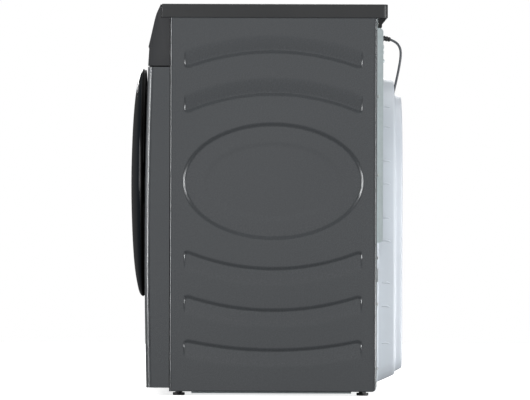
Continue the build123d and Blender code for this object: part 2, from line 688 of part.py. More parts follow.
def dispenser_hose():
    """The bellows hose from the dispenser to the top of the tub."""
    top = DRAWER[2] - 8 - SEAT
    bottom = tub_spigot_top() + SEAT
    hose = rod_z(14, bottom, top, DISPENSER_OUT_X, DISPENSER_OUT_Y)
    folds = 3
    pitch = (top - bottom) / (folds + 1)
    for index in range(folds):
        z = bottom + pitch * (index + 1)
        hose = hose + rod_z(17, z - pitch / 4, z + pitch / 4, DISPENSER_OUT_X, DISPENSER_OUT_Y)
    return hose - rod_z(11, bottom - 1, top + 1, DISPENSER_OUT_X, DISPENSER_OUT_Y)


def tub_spigot_top():
    """The height of the tub's filling spigot."""
    return DRUM_Z + math.sqrt(TUB_RADIUS ** 2 - DISPENSER_OUT_X ** 2) + 8


# ---------------------------------------------------------------- tub
HUB_RADIUS = 38.0
HUB_FRONT = 200.0
HUB_BACK = 235.0
LUG_TOP = 600.0
DAMPER_LUG = 240.0            # height of the lower end of the damper lugs
HEATER_X = 30.0
HEATER_Z = DRUM_Z - 245.0
HEATER_ROD = 3.5
SUMP_X = 120.0
SUMP_Y = -110.0
SUMP_RADIUS = 17.0
SUMP_BOTTOM = 214.0


def tub_front():
    """The front half of the tub: a short wall, the front face and the neck that carries the door seal."""
    inner = TUB_RADIUS - TUB_WALL
    neck = TUB_FRONT - 8
    shell = turned([(TUB_MOUTH, neck), (TUB_MOUTH + TUB_WALL, neck), (TUB_MOUTH + TUB_WALL, TUB_FRONT),
                    (TUB_RADIUS, TUB_FRONT), (TUB_RADIUS, TUB_SPLIT - 5), (TUB_FLANGE, TUB_SPLIT - 5),
                    (TUB_FLANGE, TUB_SPLIT), (inner, TUB_SPLIT), (inner, TUB_FRONT + TUB_WALL),
                    (TUB_MOUTH, TUB_FRONT + TUB_WALL)])
    spigot = rod_z(SUMP_RADIUS - 3, SUMP_BOTTOM - 14, DRUM_Z - 150, SUMP_X, SUMP_Y)
    shell = shell + (spigot - rod_y(inner, TUB_FRONT, TUB_SPLIT, 0, DRUM_Z))
    shell = shell - rod_z(SUMP_RADIUS - 6, SUMP_BOTTOM - 20, DRUM_Z - 190, SUMP_X, SUMP_Y)
    return shell - screw_holes(TUB_SPLIT - 6, TUB_SPLIT + 1)


def screw_places():
    """The x and z of the screws around the tub's joint."""
    count = 12
    ring = (TUB_RADIUS + TUB_FLANGE) / 2
    angles = [math.radians(360 / count * (index + 0.5)) for index in range(count)]
    return [(ring * math.cos(angle), DRUM_Z + ring * math.sin(angle)) for angle in angles]


def screw_holes(y0, y1):
    """The holes for the screws around the tub's joint."""
    return Compound(children=[rod_y(2.0, y0, y1, x, z) for x, z in screw_places()])


def tub_rear():
    """The rear cup of the tub, with the bearing hub, the spring and damper lugs and the filling spigot."""
    inner = TUB_RADIUS - TUB_WALL
    bore = BEARING_RADIUS + FIT
    cup = turned([(inner, TUB_SPLIT), (TUB_FLANGE, TUB_SPLIT), (TUB_FLANGE, TUB_SPLIT + 5),
                  (TUB_RADIUS, TUB_SPLIT + 5), (TUB_RADIUS, TUB_BACK), (HUB_RADIUS, TUB_BACK),
                  (HUB_RADIUS, HUB_BACK), (bore, HUB_BACK), (bore, HUB_FRONT), (HUB_RADIUS, HUB_FRONT),
                  (HUB_RADIUS, TUB_BACK - TUB_WALL), (inner, TUB_BACK - TUB_WALL)])
    added = []
    for sign in (-1, 1):
        added.append(block(sign * SPRING_X - 10, sign * SPRING_X + 10, SPRING_Y - 7, SPRING_Y + 7,
                           DRUM_Z + 70, LUG_TOP))
        added.append(block(sign * DAMPER_X - 10, sign * DAMPER_X + 10, -10, 10, DAMPER_LUG, DRUM_Z - 150))
    added.append(rod_z(14, DRUM_Z + 190, tub_spigot_top(), DISPENSER_OUT_X, DISPENSER_OUT_Y))
    for index in range(10):
        rib = block(-2, 2, TUB_BACK - 1, TUB_BACK + 12, HUB_RADIUS - 2, TUB_RADIUS - 2)
        added.append(Pos(0, 0, DRUM_Z) * Rot(0, 36 * index, 0) * rib)
    space = rod_y(inner, TUB_SPLIT - 1, TUB_BACK - TUB_WALL, 0, DRUM_Z)
    for piece in added:
        cup = cup + (piece - space)
    cup = cup - rod_z(11, DRUM_Z + 180, tub_spigot_top() + 1, DISPENSER_OUT_X, DISPENSER_OUT_Y)
    for x in (-HEATER_X, HEATER_X):
        cup = cup - rod_y(HEATER_ROD + FIT, TUB_BACK - 20, TUB_BACK + 20, x, HEATER_Z)
    cup = cup - block(-HEATER_X - 12, HEATER_X + 12, TUB_BACK, TUB_BACK + 20, HEATER_Z - 9, HEATER_Z + 9)
    return cup - screw_holes(TUB_SPLIT - 1, TUB_SPLIT + 6)


def tub_screws():
    """The screws around the tub's joint."""
    screws = []
    for x, z in screw_places():
        shank = rod_y(1.95, TUB_SPLIT - 5, TUB_SPLIT + 5, x, z)
        screws.append(shank + rod_y(4.0, TUB_SPLIT - 8, TUB_SPLIT - 5, x, z))
    return group(screws)


def heater():
    """The heating loop in the bottom of the tub, with its flange and two terminals."""
    front = -40.0
    loop = rod_x(HEATER_ROD, -HEATER_X, HEATER_X, front, HEATER_Z)
    for x in (-HEATER_X, HEATER_X):
        loop = loop + rod_y(HEATER_ROD, front, TUB_BACK + 6, x, HEATER_Z)
        loop = loop + Pos(x, front, HEATER_Z) * Sphere(HEATER_ROD)
        loop = loop + block(x - 3, x + 3, TUB_BACK + 5, TUB_BACK + 16, HEATER_Z - 0.5, HEATER_Z + 0.5)
    return loop + block(-HEATER_X - 9, HEATER_X + 9, TUB_BACK, TUB_BACK + 5, HEATER_Z - 7, HEATER_Z + 7)


def counterweight_top():
    """The block on the top of the tub, hollowed to sit on it."""
    weight = block(-98, 98, -120, 30, DRUM_Z + 230, DRUM_Z + 300)
    weight = fillet(weight.edges().filter_by(Axis.Z), 12)
    weight = weight - rod_y(TUB_RADIUS + SEAT, -130, 60, 0, DRUM_Z)
    return weight - rod_y(TUB_FLANGE + 1, TUB_SPLIT - 10, TUB_SPLIT + 6, 0, DRUM_Z)


def counterweight_front():
    """The half ring under the door seal, on the front face of the tub."""
    ring = ring_y(250, 193, TUB_FRONT - 34, TUB_FRONT - SEAT, 0, DRUM_Z)
    ring = ring - block(-260, 260, TUB_FRONT - 40, TUB_FRONT + 1, DRUM_Z - 42, DRUM_Z + 260)
    return ring - block(SUMP_X - 20, SUMP_X + 20, SUMP_Y - 60, SUMP_Y + 20, DRUM_Z - 260, DRUM_Z - 252)


def suspension_springs():
    """The two springs that the tub hangs on, each as the shell of its coil."""
    low = LUG_TOP + SEAT
    high = rail_top() - RAIL_HEIGHT - SEAT
    coil = rod_z(SPRING_RADIUS, low, high, SPRING_X, SPRING_Y)
    return group(both_sides(coil - rod_z(SPRING_RADIUS - 3, low + 8, high - 8, SPRING_X, SPRING_Y)))


def dampers():
    """The two friction struts between the tub and the base."""
    seat = TRAY_TOP - 14 + SEAT
    top = DAMPER_LUG - SEAT
    strut = rod_z(DAMPER_RADIUS, seat, seat + 110, DAMPER_X, 0) + rod_z(6, seat + 109, top, DAMPER_X, 0)
    return group(both_sides(strut))


# ---------------------------------------------------------------- door seal and hoses
def door_seal():
    """The bellows between the front panel and the tub, with the lip that meets the glass."""
    rim = PORTHOLE - SEAT
    front = front_y(DRUM_Z) - 0.2
    neck = TUB_MOUTH + TUB_WALL + SEAT
    return turned([(rim, front), (rim, front + 22), (rim + 6, -232), (rim + 2, -222), (rim + 2, TUB_FRONT - 3),
                   (neck, TUB_FRONT - 3), (neck, TUB_FRONT - 9), (rim - 5, TUB_FRONT - 10), (rim - 5, -222),
                   (rim + 2.5, -232), (rim - 3, front + 22), (rim - 10, -247), (rim - 20, -251),
                   (rim - 21, -254), (rim - 10, -251), (rim - 3, front + 5), (rim - 3, front)])


def sump_hose():
    """The bellows hose from the tub's outlet down to the pump."""
    top = SUMP_BOTTOM - 14 - SEAT
    bottom = PUMP_INLET_TOP + SEAT
    hose = rod_z(SUMP_RADIUS - 2, bottom, top, SUMP_X, SUMP_Y)
    folds = 5
    pitch = (top - bottom) / (folds + 1)
    for index in range(folds):
        z = bottom + pitch * (index + 1)
        hose = hose + rod_z(SUMP_RADIUS + 2, z - pitch / 4, z + pitch / 4, SUMP_X, SUMP_Y)
    return hose - rod_z(SUMP_RADIUS - 5, bottom - 1, top + 1, SUMP_X, SUMP_Y)


PUMP_X = (FLAP[0] + FLAP[1]) / 2
PUMP_Z = (FLAP[2] + FLAP[3]) / 2
PUMP_FRONT = -244.0
PUMP_INLET_TOP = 122.0
FILTER_RADIUS = 28.0


def drain_pump():
    """The drain pump: a filter chamber behind the flap, the inlet elbow, the outlet and the pump motor."""
    chamber = rod_y(FILTER_RADIUS + 5, PUMP_FRONT, -150, PUMP_X, PUMP_Z)
    drive = rod_y(26, -151, -84, PUMP_X, PUMP_Z)
    pipe = rod_x(13, SUMP_X, PUMP_X, SUMP_Y - 60, PUMP_Z)
    elbow = rod_y(13, SUMP_Y - 60, SUMP_Y, SUMP_X, PUMP_Z) + Pos(SUMP_X, SUMP_Y, PUMP_Z) * Sphere(13)
    riser = rod_z(SUMP_RADIUS - 3, PUMP_Z, PUMP_INLET_TOP, SUMP_X, SUMP_Y)
    outlet = rod_x(9, PUMP_X - 70, PUMP_X, -220, PUMP_Z - 14)
    foot = block(PUMP_X - 26, PUMP_X + 26, -200, -120, TRAY_BOTTOM + TRAY_WALL, PUMP_Z - 20)
    body = chamber + drive + pipe + elbow + riser + outlet + foot
    body = body + Pos(SUMP_X, SUMP_Y - 60, PUMP_Z) * Sphere(13)
    body = body - rod_y(FILTER_RADIUS, PUMP_FRONT - 1, -158, PUMP_X, PUMP_Z)
    return body - rod_z(SUMP_RADIUS - 6, PUMP_Z, PUMP_INLET_TOP + 1, SUMP_X, SUMP_Y)


def drain_filter_cap():
    """The filter's screw cap with its grip bar and the strainer behind it."""
    disc = rod_y(FILTER_RADIUS + 3, PUMP_FRONT - 5, PUMP_FRONT - GAP, PUMP_X, PUMP_Z)
    grip = block(PUMP_X - 20, PUMP_X + 20, PUMP_FRONT - 10, PUMP_FRONT - 4, PUMP_Z - 3, PUMP_Z + 3)
    strainer = ring_y(FILTER_RADIUS - 1.5, FILTER_RADIUS - 4, PUMP_FRONT - 1, PUMP_FRONT + 60, PUMP_X, PUMP_Z)
    return disc + grip + strainer


# ---------------------------------------------------------------- drum and drive
def drum():
    """The drum shell with its rolled front lip and its back plate."""
    edge = 13.0
    skin = DRUM_SHEET
    return turned([(DRUM_MOUTH, DRUM_FRONT), (DRUM_RADIUS - edge, DRUM_FRONT), (DRUM_RADIUS, DRUM_FRONT + edge),
                   (DRUM_RADIUS, DRUM_BACK), (0, DRUM_BACK), (0, DRUM_BACK - skin),
                   (DRUM_RADIUS - skin, DRUM_BACK - skin), (DRUM_RADIUS - skin, DRUM_FRONT + edge + 0.6),
                   (DRUM_RADIUS - edge - 0.6, DRUM_FRONT + skin), (DRUM_MOUTH, DRUM_FRONT + skin)])


def drum_lifters():
    """The three paddles inside the drum."""
    inner = DRUM_RADIUS - DRUM_SHEET
    outline = make_face(Polyline((-38, inner - 8), (-12, inner - 52), (12, inner - 52), (38, inner - 8),
                                 (38, inner + 5), (-38, inner + 5), close=True))
    outline = fillet(outline.vertices().group_by(Axis.Y)[0], 10)
    paddle = extrude(face_xz(outline, DRUM_FRONT + 28), DRUM_BACK - DRUM_FRONT - 46)
    paddle = paddle & rod_y(inner - 0.05, DRUM_FRONT, DRUM_BACK, 0, 0)
    return group([Pos(0, 0, DRUM_Z) * Rot(0, 120 * index, 0) * paddle for index in range(3)])


def drum_spider():
    """The three-armed casting that carries the drum on its shaft."""
    hub = ring_y(30, SHAFT_RADIUS, DRUM_BACK, DRUM_BACK + 15, 0, 0)
    arm_outline = make_face(Polyline((-26, 20), (-11, 226), (11, 226), (26, 20), close=True))
    arm = extrude(face_xz(arm_outline, DRUM_BACK), 12)
    spider = hub
    for index in range(3):
        spider = spider + Rot(0, 120 * index, 0) * arm
    return Pos(0, 0, DRUM_Z) * (spider - rod_y(SHAFT_RADIUS, DRUM_BACK - 1, DRUM_BACK + 30, 0, 0))


def drum_shaft():
    """The drum's shaft with the bolt that holds the pulley."""
    shaft = rod_y(SHAFT_RADIUS, DRUM_BACK, PULLEY_Y + 12, 0, DRUM_Z)
    head = extrude(Plane(origin=(0, PULLEY_Y + 12, DRUM_Z), x_dir=(1, 0, 0), z_dir=(0, 1, 0)) * RegularPolygon(12, 6), 7)
    return shaft + head


def drum_bearings():
    """The two bearings in the tub's hub."""
    rings = []
    for start in (HUB_FRONT + 1, HUB_BACK - 1 - BEARING_LENGTH):
        rings.append(ring_y(BEARING_RADIUS, SHAFT_RADIUS + FIT, start, start + BEARING_LENGTH, 0, DRUM_Z))
    return group(rings)


def drum_pulley():
    """The large belt pulley: a rim, a hub and six spokes."""
    rim = ring_y(PULLEY_RADIUS, PULLEY_RADIUS - 10, PULLEY_Y - 9, PULLEY_Y + 9, 0, 0)
    hub = rod_y(24, PULLEY_Y - 12, PULLEY_Y + 12, 0, 0)
    wheel = rim + hub
    for index in range(6):
        wheel = wheel + Rot(0, 60 * index, 0) * block(-7, 7, PULLEY_Y - 4, PULLEY_Y + 4, 20, PULLEY_RADIUS - 8)
    return Pos(0, 0, DRUM_Z) * (wheel - rod_y(SHAFT_RADIUS, PULLEY_Y - 20, PULLEY_Y + 20, 0, 0))


def motor():
    """The drive motor, hung from the tub by four lugs, with cooling slots in its end caps."""
    back = HUB_BACK - 8
    front = back - MOTOR_LENGTH
    body = rod_y(MOTOR_RADIUS, front + 18, back - 18, MOTOR_X, MOTOR_Z)
    body = body + rod_y(MOTOR_RADIUS - 6, front, back, MOTOR_X, MOTOR_Z)
    for y in (front + 24, back - 40):
        for side in (-1, 1):
            x = MOTOR_X + side * 34
            body = body + block(x - 9, x + 9, y, y + 16, MOTOR_Z + 40, DRUM_Z - 200)
    body = body - rod_y(TUB_RADIUS + 0.1, front - 1, back + 1, 0, DRUM_Z)
    for index in range(8):
        slot = block(-4, 4, front - 1, front + 6, 30, 50)
        body = body - Pos(MOTOR_X, 0, MOTOR_Z) * Rot(0, 45 * index, 0) * slot
    return body


def motor_pulley():
    """The small belt pulley on the motor's shaft, between two flanges."""
    start = HUB_BACK - 8 + GAP
    shaft = rod_y(6, start, PULLEY_Y + 11, MOTOR_X, MOTOR_Z)
    pulley = rod_y(MOTOR_PULLEY_RADIUS, PULLEY_Y - 9, PULLEY_Y + 9, MOTOR_X, MOTOR_Z)
    return shaft + pulley


def belt_outline(extra):
    """The loop around both pulleys in (x, z), standing off their rims by extra."""
    large = Pos(0, DRUM_Z) * Circle(PULLEY_RADIUS + extra)
    small = Pos(MOTOR_X, MOTOR_Z) * Circle(MOTOR_PULLEY_RADIUS + extra)
    return make_hull(large.edges() + small.edges())


def drive_belt():
    """The belt from the motor's pulley to the drum's pulley."""
    band = face_xz(belt_outline(GAP + BELT_THICK), PULLEY_Y - BELT_WIDTH / 2)
    space = face_xz(belt_outline(GAP), PULLEY_Y - BELT_WIDTH / 2 - 1)
    return extrude(band, BELT_WIDTH) - extrude(space, BELT_WIDTH + 2)


# ---------------------------------------------------------------- door
HINGE_HALF = 46.0             # half height of the notch for the hinge
KNUCKLE_RADIUS = 4.5
KNUCKLE_HALF = 35.0
EAR_INNER = KNUCKLE_HALF + 0.5
EAR_OUTER = EAR_INNER + 8.0
GRIP_HALF = 45.0
GRIP_DEPTH = 26.0
FRAME_FRONT = -270.2
FRAME_RADIUS = DOOR_RADIUS - 2.0


def dome_line(radius, y, rim_setback):
    """The door's domed profile from its middle, at y, out to a radius where it lies further back."""
    share = radius / DOOR_RADIUS
    knots = [(0.0, 0.0), (105.0, 2.5), (185.0, 7.9), (232.0, 15.5), (DOOR_RADIUS, rim_setback)]
    return Spline(*[(r * share, y + setback) for r, setback in knots], tangents=[(1, 0), (0.35, 1)])


def hinge_notch(low, high):
    """The block that clears the hinge from a door piece between two y values."""
    return block(-DOOR_RADIUS - 12, HINGE_X + KNUCKLE_RADIUS + 2, low, high, DRUM_Z - HINGE_HALF, DRUM_Z + HINGE_HALF)


def door_cover():
    """The domed outer cover with its turned-in rim."""
    inner_radius = DOOR_RADIUS - DOOR_WALL
    inner_setback = DOOR_RIM_SETBACK - DOOR_WALL
    outer_line = dome_line(DOOR_RADIUS, DOOR_APEX, DOOR_RIM_SETBACK)
    inner_line = dome_line(inner_radius, DOOR_APEX + DOOR_WALL, inner_setback)
    back = FRAME_FRONT - GAP
    rim = Polyline((DOOR_RADIUS, DOOR_APEX + DOOR_RIM_SETBACK), (DOOR_RADIUS, back), (inner_radius, back),
                   (inner_radius, DOOR_APEX + DOOR_WALL + inner_setback))
    axis_line = Line((0, DOOR_APEX), (0, DOOR_APEX + DOOR_WALL))
    profile = make_face(outer_line + rim + inner_line + axis_line)
    cover = Pos(0, 0, DRUM_Z) * revolve(profile, Axis.Y)
    return cover - hinge_notch(DOOR_APEX + DOOR_RIM_SETBACK - 12, DOOR_BACK)


def door_frame():
    """The inner ring that carries the glass, with the finger recess on the opening side."""
    throat = GLASS_RADIUS + 2
    frame = turned([(FRAME_RADIUS, FRAME_FRONT), (FRAME_RADIUS, DOOR_BACK), (throat + 12, DOOR_BACK),
                    (throat + 4, DOOR_BACK + 4), (throat, DOOR_BACK + 4), (throat, FRAME_FRONT)])
    grip = block(FRAME_RADIUS - GRIP_DEPTH, FRAME_RADIUS + 5, FRAME_FRONT - 1, DOOR_BACK + 1,
                 DRUM_Z - GRIP_HALF, DRUM_Z + GRIP_HALF)
    return frame - grip - hinge_notch(FRAME_FRONT - 1, DOOR_BACK + 1)


def door_glass():
    """The glass bowl that reaches into the drum's mouth."""
    flange = GLASS_RADIUS + 9
    seat = FRAME_FRONT - 0.1
    wall = GLASS_WALL
    return turned([(flange, seat), (GLASS_RADIUS, seat), (GLASS_RADIUS - 4, -240), (GLASS_RADIUS - 14, -208),
                   (GLASS_END_RADIUS, GLASS_END - 6), (GLASS_END_RADIUS - 27, GLASS_END), (0, GLASS_END),
                   (0, GLASS_END - wall), (GLASS_END_RADIUS - 28, GLASS_END - wall),
                   (GLASS_END_RADIUS - 3, GLASS_END - 10.5), (GLASS_RADIUS - 18.5, -210.5),
                   (GLASS_RADIUS - 9, -241), (GLASS_RADIUS - 5, seat - 3.5), (flange, seat - 3.5)])


def door_latch_hook():
    """The hook on the back of the door that enters the lock."""
    tongue = block(LOCK_X - 3, LOCK_X + 3, DOOR_BACK, -247, DRUM_Z - 12, DRUM_Z + 12)
    barb = block(LOCK_X - 3, LOCK_X + 3, -252, -247, DRUM_Z - 14, DRUM_Z + 14)
    plate = block(LOCK_X - 7, LOCK_X + 7, DOOR_BACK, DOOR_BACK + 1.2, DRUM_Z - 16, DRUM_Z + 16)
    return tongue + barb + plate - block(LOCK_X - 5, LOCK_X + 5, -257, -252, DRUM_Z - 6, DRUM_Z + 6)


def door_lock():
    """The interlock behind the front panel, with the pocket for the hook."""
    face = front_y(DRUM_Z + 34) + SHEET + 0.05
    body = block(LOCK_X - 15, LOCK_X + 30, face, -228, DRUM_Z - 34, DRUM_Z + 34)
    width, tall = LOCK_SLOT
    pocket = block(LOCK_X - width / 2, LOCK_X + width / 2, face - 1, -242, DRUM_Z - tall / 2, DRUM_Z + tall / 2)
    lobes = block(LOCK_X + 6, LOCK_X + 24, -229, -216, DRUM_Z - 24, DRUM_Z + 10)
    return body + lobes - pocket


def door_hinge_bracket():
    """The fixed half of the hinge: a plate on the front panel and two ears around the pin."""
    face = front_y(DRUM_Z + EAR_OUTER) + 0.05
    plate = block(HINGE_X - 8, HINGE_X + 12, face - 2, face, DRUM_Z - EAR_OUTER, DRUM_Z + EAR_OUTER)
    bracket = plate
    for sign in (-1, 1):
        z = DRUM_Z + sign * (EAR_INNER + EAR_OUTER) / 2
        half = (EAR_OUTER - EAR_INNER) / 2
        ear = rod_z(KNUCKLE_RADIUS, z - half, z + half, HINGE_X, HINGE_Y)
        web = block(HINGE_X - KNUCKLE_RADIUS, HINGE_X + KNUCKLE_RADIUS, HINGE_Y, face - 1, z - half, z + half)
        bracket = bracket + ear + web
    bracket = bracket - Pos(0, -0.05, 0) * front_slab(0, SIDE_FRONT)
    return bracket - rod_z(HINGE_PIN + FIT, DRUM_Z - EAR_OUTER - 2, DRUM_Z + EAR_OUTER + 2, HINGE_X, HINGE_Y)


def door_hinge_arm():
    """The moving half of the hinge: the pin, its knuckle and the arm on the front of the door frame."""
    pin = rod_z(HINGE_PIN, DRUM_Z - EAR_OUTER - 1, DRUM_Z + EAR_OUTER + 1, HINGE_X, HINGE_Y)
    knuckle = rod_z(KNUCKLE_RADIUS, DRUM_Z - KNUCKLE_HALF, DRUM_Z + KNUCKLE_HALF, HINGE_X, HINGE_Y)
    arm = block(HINGE_X, HINGE_X + 40, FRAME_FRONT - 2.6, FRAME_FRONT - 0.1, DRUM_Z - 30, DRUM_Z + 30)
    return pin + knuckle + arm


# ---------------------------------------------------------------- mains lead
CORD_ROUTE = [(-150, 275.2, 784.9), (-150, 289.8, 779.6), (-150, 299.8, 767.7), (-150.5, 302.5, 752.4),
              (-152, 299.5, 727.6), (-156, 292, 690), (-174, 281.5, 645), (-213, 273, 598), (-244, 266, 545),
              (-259, 262.5, 478), (-263, 263, 402), (-261, 262, 324), (-264, 259, 247), (-270, 256.5, 172),
              (-284, 257, 108), (-303, 257, 60), (-326, 242, 21), (-343, 203, CORD_REST), (-343, 163, CORD_REST)]
COIL_OUTER = 36.0             # radius of the lead's middle in the outer turn
COIL_INNER = 27.75
COIL_Y = 130.0
COIL_STUB = 33.0
PLUG = (34.0, 42.0)           # width and length of the plug's body
PLUG_PIN = 2.3


def arc_radii(points):
    """The radius of the arc at each inner point: 0.45 of the shorter run over the tangent of half the turn."""
    radii = []
    for before, here, after in zip(points, points[1:], points[2:]):
        arriving = Vector(*here) - Vector(*before)
        leaving = Vector(*after) - Vector(*here)
        half_turn = math.radians(arriving.get_angle(leaving) / 2)
        radii.append(0.45 * min(arriving.length, leaving.length) / math.tan(half_turn))
    return radii


def power_cord():
    """The mains lead from the strain relief, past the clip and round the corner, to its coil on the floor."""
    radii = arc_radii(CORD_ROUTE)
    path = FilletPolyline(*CORD_ROUTE, radius=radii)
    start = Plane(origin=CORD_ROUTE[0], z_dir=Vector(*CORD_ROUTE[1]) - Vector(*CORD_ROUTE[0]))
    tube = sweep(start * Circle(CORD / 2), path)
    expected = math.pi * (CORD / 2) ** 2 * path.length
    print("cord radii", [round(radius, 1) for radius in radii])
    print("cord length", round(path.length, 1), "volume over section times length", round(tube.volume / expected, 5))
    return tube


def cord_coil():
    """The outer shape of the coiled rest of the lead: two layers of turns, with its two tails."""
    x = CORD_ROUTE[-1][0]
    centre_x = x - COIL_OUTER
    top = 2 * CORD_REST
    ring = rod_z(COIL_OUTER + CORD_REST, 0, 2 * top, centre_x, COIL_Y)
    ring = ring - rod_z(COIL_INNER - CORD_REST, -1, 2 * top + 1, centre_x, COIL_Y)
    tail_in = rod_y(CORD / 2, COIL_Y, CORD_ROUTE[-1][1], x, CORD_REST)
    tail_out = rod_y(CORD / 2, COIL_Y - COIL_STUB, COIL_Y, x, top + CORD_REST)
    return ring + tail_in + tail_out


def power_plug():
    """The plug with three round pins, lying beside the coil."""
    width, length = PLUG
    x = CORD_ROUTE[-1][0]
    back = COIL_Y - COIL_STUB
    nose = 12.0
    thick = 6 * CORD_REST
    body = block(x - width / 2, x + width / 2, back - nose - length, back - nose, 0, thick)
    body = fillet(body.edges().filter_by(Axis.Y), 4)
    sleeve = rod_y(CORD / 2 + 1.5, back - nose - 1, back, x, thick / 2)
    pins = body + sleeve
    for offset, drop in ((-9.5, -1.5), (0.0, 3.0), (9.5, -1.5)):
        pins = pins + rod_y(PLUG_PIN, back - nose - length - 18, back - nose - length, x + offset, thick / 2 + drop)
    return pins


def strain_relief():
    """The rubber sleeve that carries the lead out of the rear panel."""
    face = SIDE_REAR + SHEET
    collar = rod_y(9, face, face + 3, CORD_X, CORD_EXIT_Z)
    neck = rod_y(6, face - 6, face + 15, CORD_X, CORD_EXIT_Z)
    end = Vector(*CORD_ROUTE[0])
    lead_out = (Vector(*CORD_ROUTE[1]) - end).normalized()
    length = 22.0
    taper = Plane(origin=end - lead_out * (length / 2), z_dir=lead_out) * Cone(5.5, CORD / 2 + 0.8, length)
    return collar + neck + taper


def cord_clip():
    """The clip on the rear panel that keeps the lead beside the cover."""
    x, y, z = CORD_ROUTE[10]
    face = SIDE_REAR + SHEET + REAR_PAD_HEIGHT
    loop = rod_z(CORD / 2 + 2.6, z - 6, z + 6, x, y)
    base = block(x - 9, x + 9, face, face + 2, z - 10, z + 10)
    stem = block(x - 3, x + 3, face + 1, y, z - 6, z + 6)
    return loop + base + stem - rod_z(CORD / 2 + 1.2, z - 7, z + 7, x, y)


# ---------------------------------------------------------------- the pieces, one file each
def pieces():
    """Every piece of the machine by its name."""
    right_side = side_panel()
    made = {
        "worktop": worktop(),
        "side_panel_right": right_side,
        "side_panel_left": mirror(right_side, Plane.YZ),
        "front_panel": front_panel(),
        "rear_panel": rear_panel(),
        "rear_cover": rear_cover(),
        "base_tray": base_tray(),
        "top_rails": top_rails(),
        "worktop_brackets": worktop_brackets(),
        "cabinet_screws": cabinet_screws(),
        "transit_bolt_caps": transit_bolt_caps(),
        "control_panel": control_panel(),
        "display_window": display_window(),
        "control_board": control_board(),
        "program_knob": program_knob(),
        "power_button": push_button(POWER_X),
        "start_button": push_button(START_X),
        "detergent_drawer": detergent_drawer(),
        "dispenser_housing": dispenser_housing(),
        "dispenser_hose": dispenser_hose(),
        "water_inlet_valve": water_inlet_valve(),
        "drain_spout": drain_spout(),
        "drain_pump": drain_pump(),
        "drain_filter_cap": drain_filter_cap(),
        "filter_flap": filter_flap(),
        "sump_hose": sump_hose(),
        "tub_front": tub_front(),
        "tub_rear": tub_rear(),
        "tub_screws": tub_screws(),
        "counterweight_top": counterweight_top(),
        "counterweight_front": counterweight_front(),
        "heater": heater(),
        "suspension_springs": suspension_springs(),
        "dampers": dampers(),
        "door_seal": door_seal(),
        "drum": drum(),
        "drum_lifters": drum_lifters(),
        "drum_spider": drum_spider(),
        "drum_shaft": drum_shaft(),
        "drum_bearings": drum_bearings(),
        "drum_pulley": drum_pulley(),
        "motor": motor(),
        "motor_pulley": motor_pulley(),
        "drive_belt": drive_belt(),
        "door_cover": door_cover(),
        "door_frame": door_frame(),
        "door_glass": door_glass(),
        "door_latch_hook": door_latch_hook(),
        "door_lock": door_lock(),
        "door_hinge_bracket": door_hinge_bracket(),
        "door_hinge_arm": door_hinge_arm(),
        "strain_relief": strain_relief(),
        "cord_clip": cord_clip(),
        "power_cord": power_cord(),
        "cord_coil": cord_coil(),
        "power_plug": power_plug(),
    }
    names = ["front_left", "front_right", "rear_left", "rear_right"]
    for name, (x, y) in zip(names, foot_places()):
        made["foot_" + name] = levelling_foot(x, y)
    return made


def main():
    """Write every piece to its own file."""
    os.makedirs("parts", exist_ok=True)
    for name, piece in pieces().items():
        export_step(piece, os.path.join("parts", name + ".step"))


if __name__ == "__main__":
    main()
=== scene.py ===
"""The looks of the front load washing machine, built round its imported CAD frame. Lengths are in metres."""

import math

import bmesh
import bpy
from mathutils import Matrix, Vector


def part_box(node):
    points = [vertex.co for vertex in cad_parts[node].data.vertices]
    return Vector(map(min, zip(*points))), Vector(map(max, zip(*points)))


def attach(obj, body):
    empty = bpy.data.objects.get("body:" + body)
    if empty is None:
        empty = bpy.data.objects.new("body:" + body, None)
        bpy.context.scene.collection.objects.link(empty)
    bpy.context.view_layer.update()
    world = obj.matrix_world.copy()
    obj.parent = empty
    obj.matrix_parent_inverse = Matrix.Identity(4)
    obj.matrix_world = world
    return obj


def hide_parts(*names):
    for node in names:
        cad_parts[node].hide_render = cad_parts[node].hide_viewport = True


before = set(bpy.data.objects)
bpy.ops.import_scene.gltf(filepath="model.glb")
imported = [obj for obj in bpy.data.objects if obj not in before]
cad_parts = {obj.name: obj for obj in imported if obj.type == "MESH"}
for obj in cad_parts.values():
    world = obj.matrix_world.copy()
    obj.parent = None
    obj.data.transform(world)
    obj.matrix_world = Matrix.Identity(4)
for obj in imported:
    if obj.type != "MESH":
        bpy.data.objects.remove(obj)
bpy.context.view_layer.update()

MM = 0.001


# ---------------------------------------------------------------- camera
CAMERA_DISTANCE = 12.0       # from the near side panel
CAMERA_HEIGHT = 0.500
AIM_HEIGHT = 0.4251          # where the view's middle meets the side panel
VIEW_Y = -0.00225
LENS = 376.0
SENSOR = 36.0
ROLL = 0.18


def add_camera():
    """A long lens at the machine's right side, a little above its middle."""
    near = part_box("side_panel_right")[1][0]
    data = bpy.data.cameras.new("camera")
    data.lens = LENS
    data.sensor_width = SENSOR
    data.clip_end = 60.0
    camera = bpy.data.objects.new("camera", data)
    bpy.context.collection.objects.link(camera)
    place = Vector((near + CAMERA_DISTANCE, VIEW_Y, CAMERA_HEIGHT))
    aim = Vector((near, VIEW_Y, AIM_HEIGHT))
    facing = (aim - place).to_track_quat("-Z", "Y").to_matrix().to_4x4()
    camera.matrix_world = Matrix.Translation(place) @ facing @ Matrix.Rotation(math.radians(ROLL), 4, "Z")
    bpy.context.scene.camera = camera


add_camera()


# ---------------------------------------------------------------- materials
def local_range(name, axis):
    """The lowest and highest place of a CAD node's points along one of its own axes."""
    places = [vertex.co[axis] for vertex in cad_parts[name].data.vertices]
    return min(places), max(places)


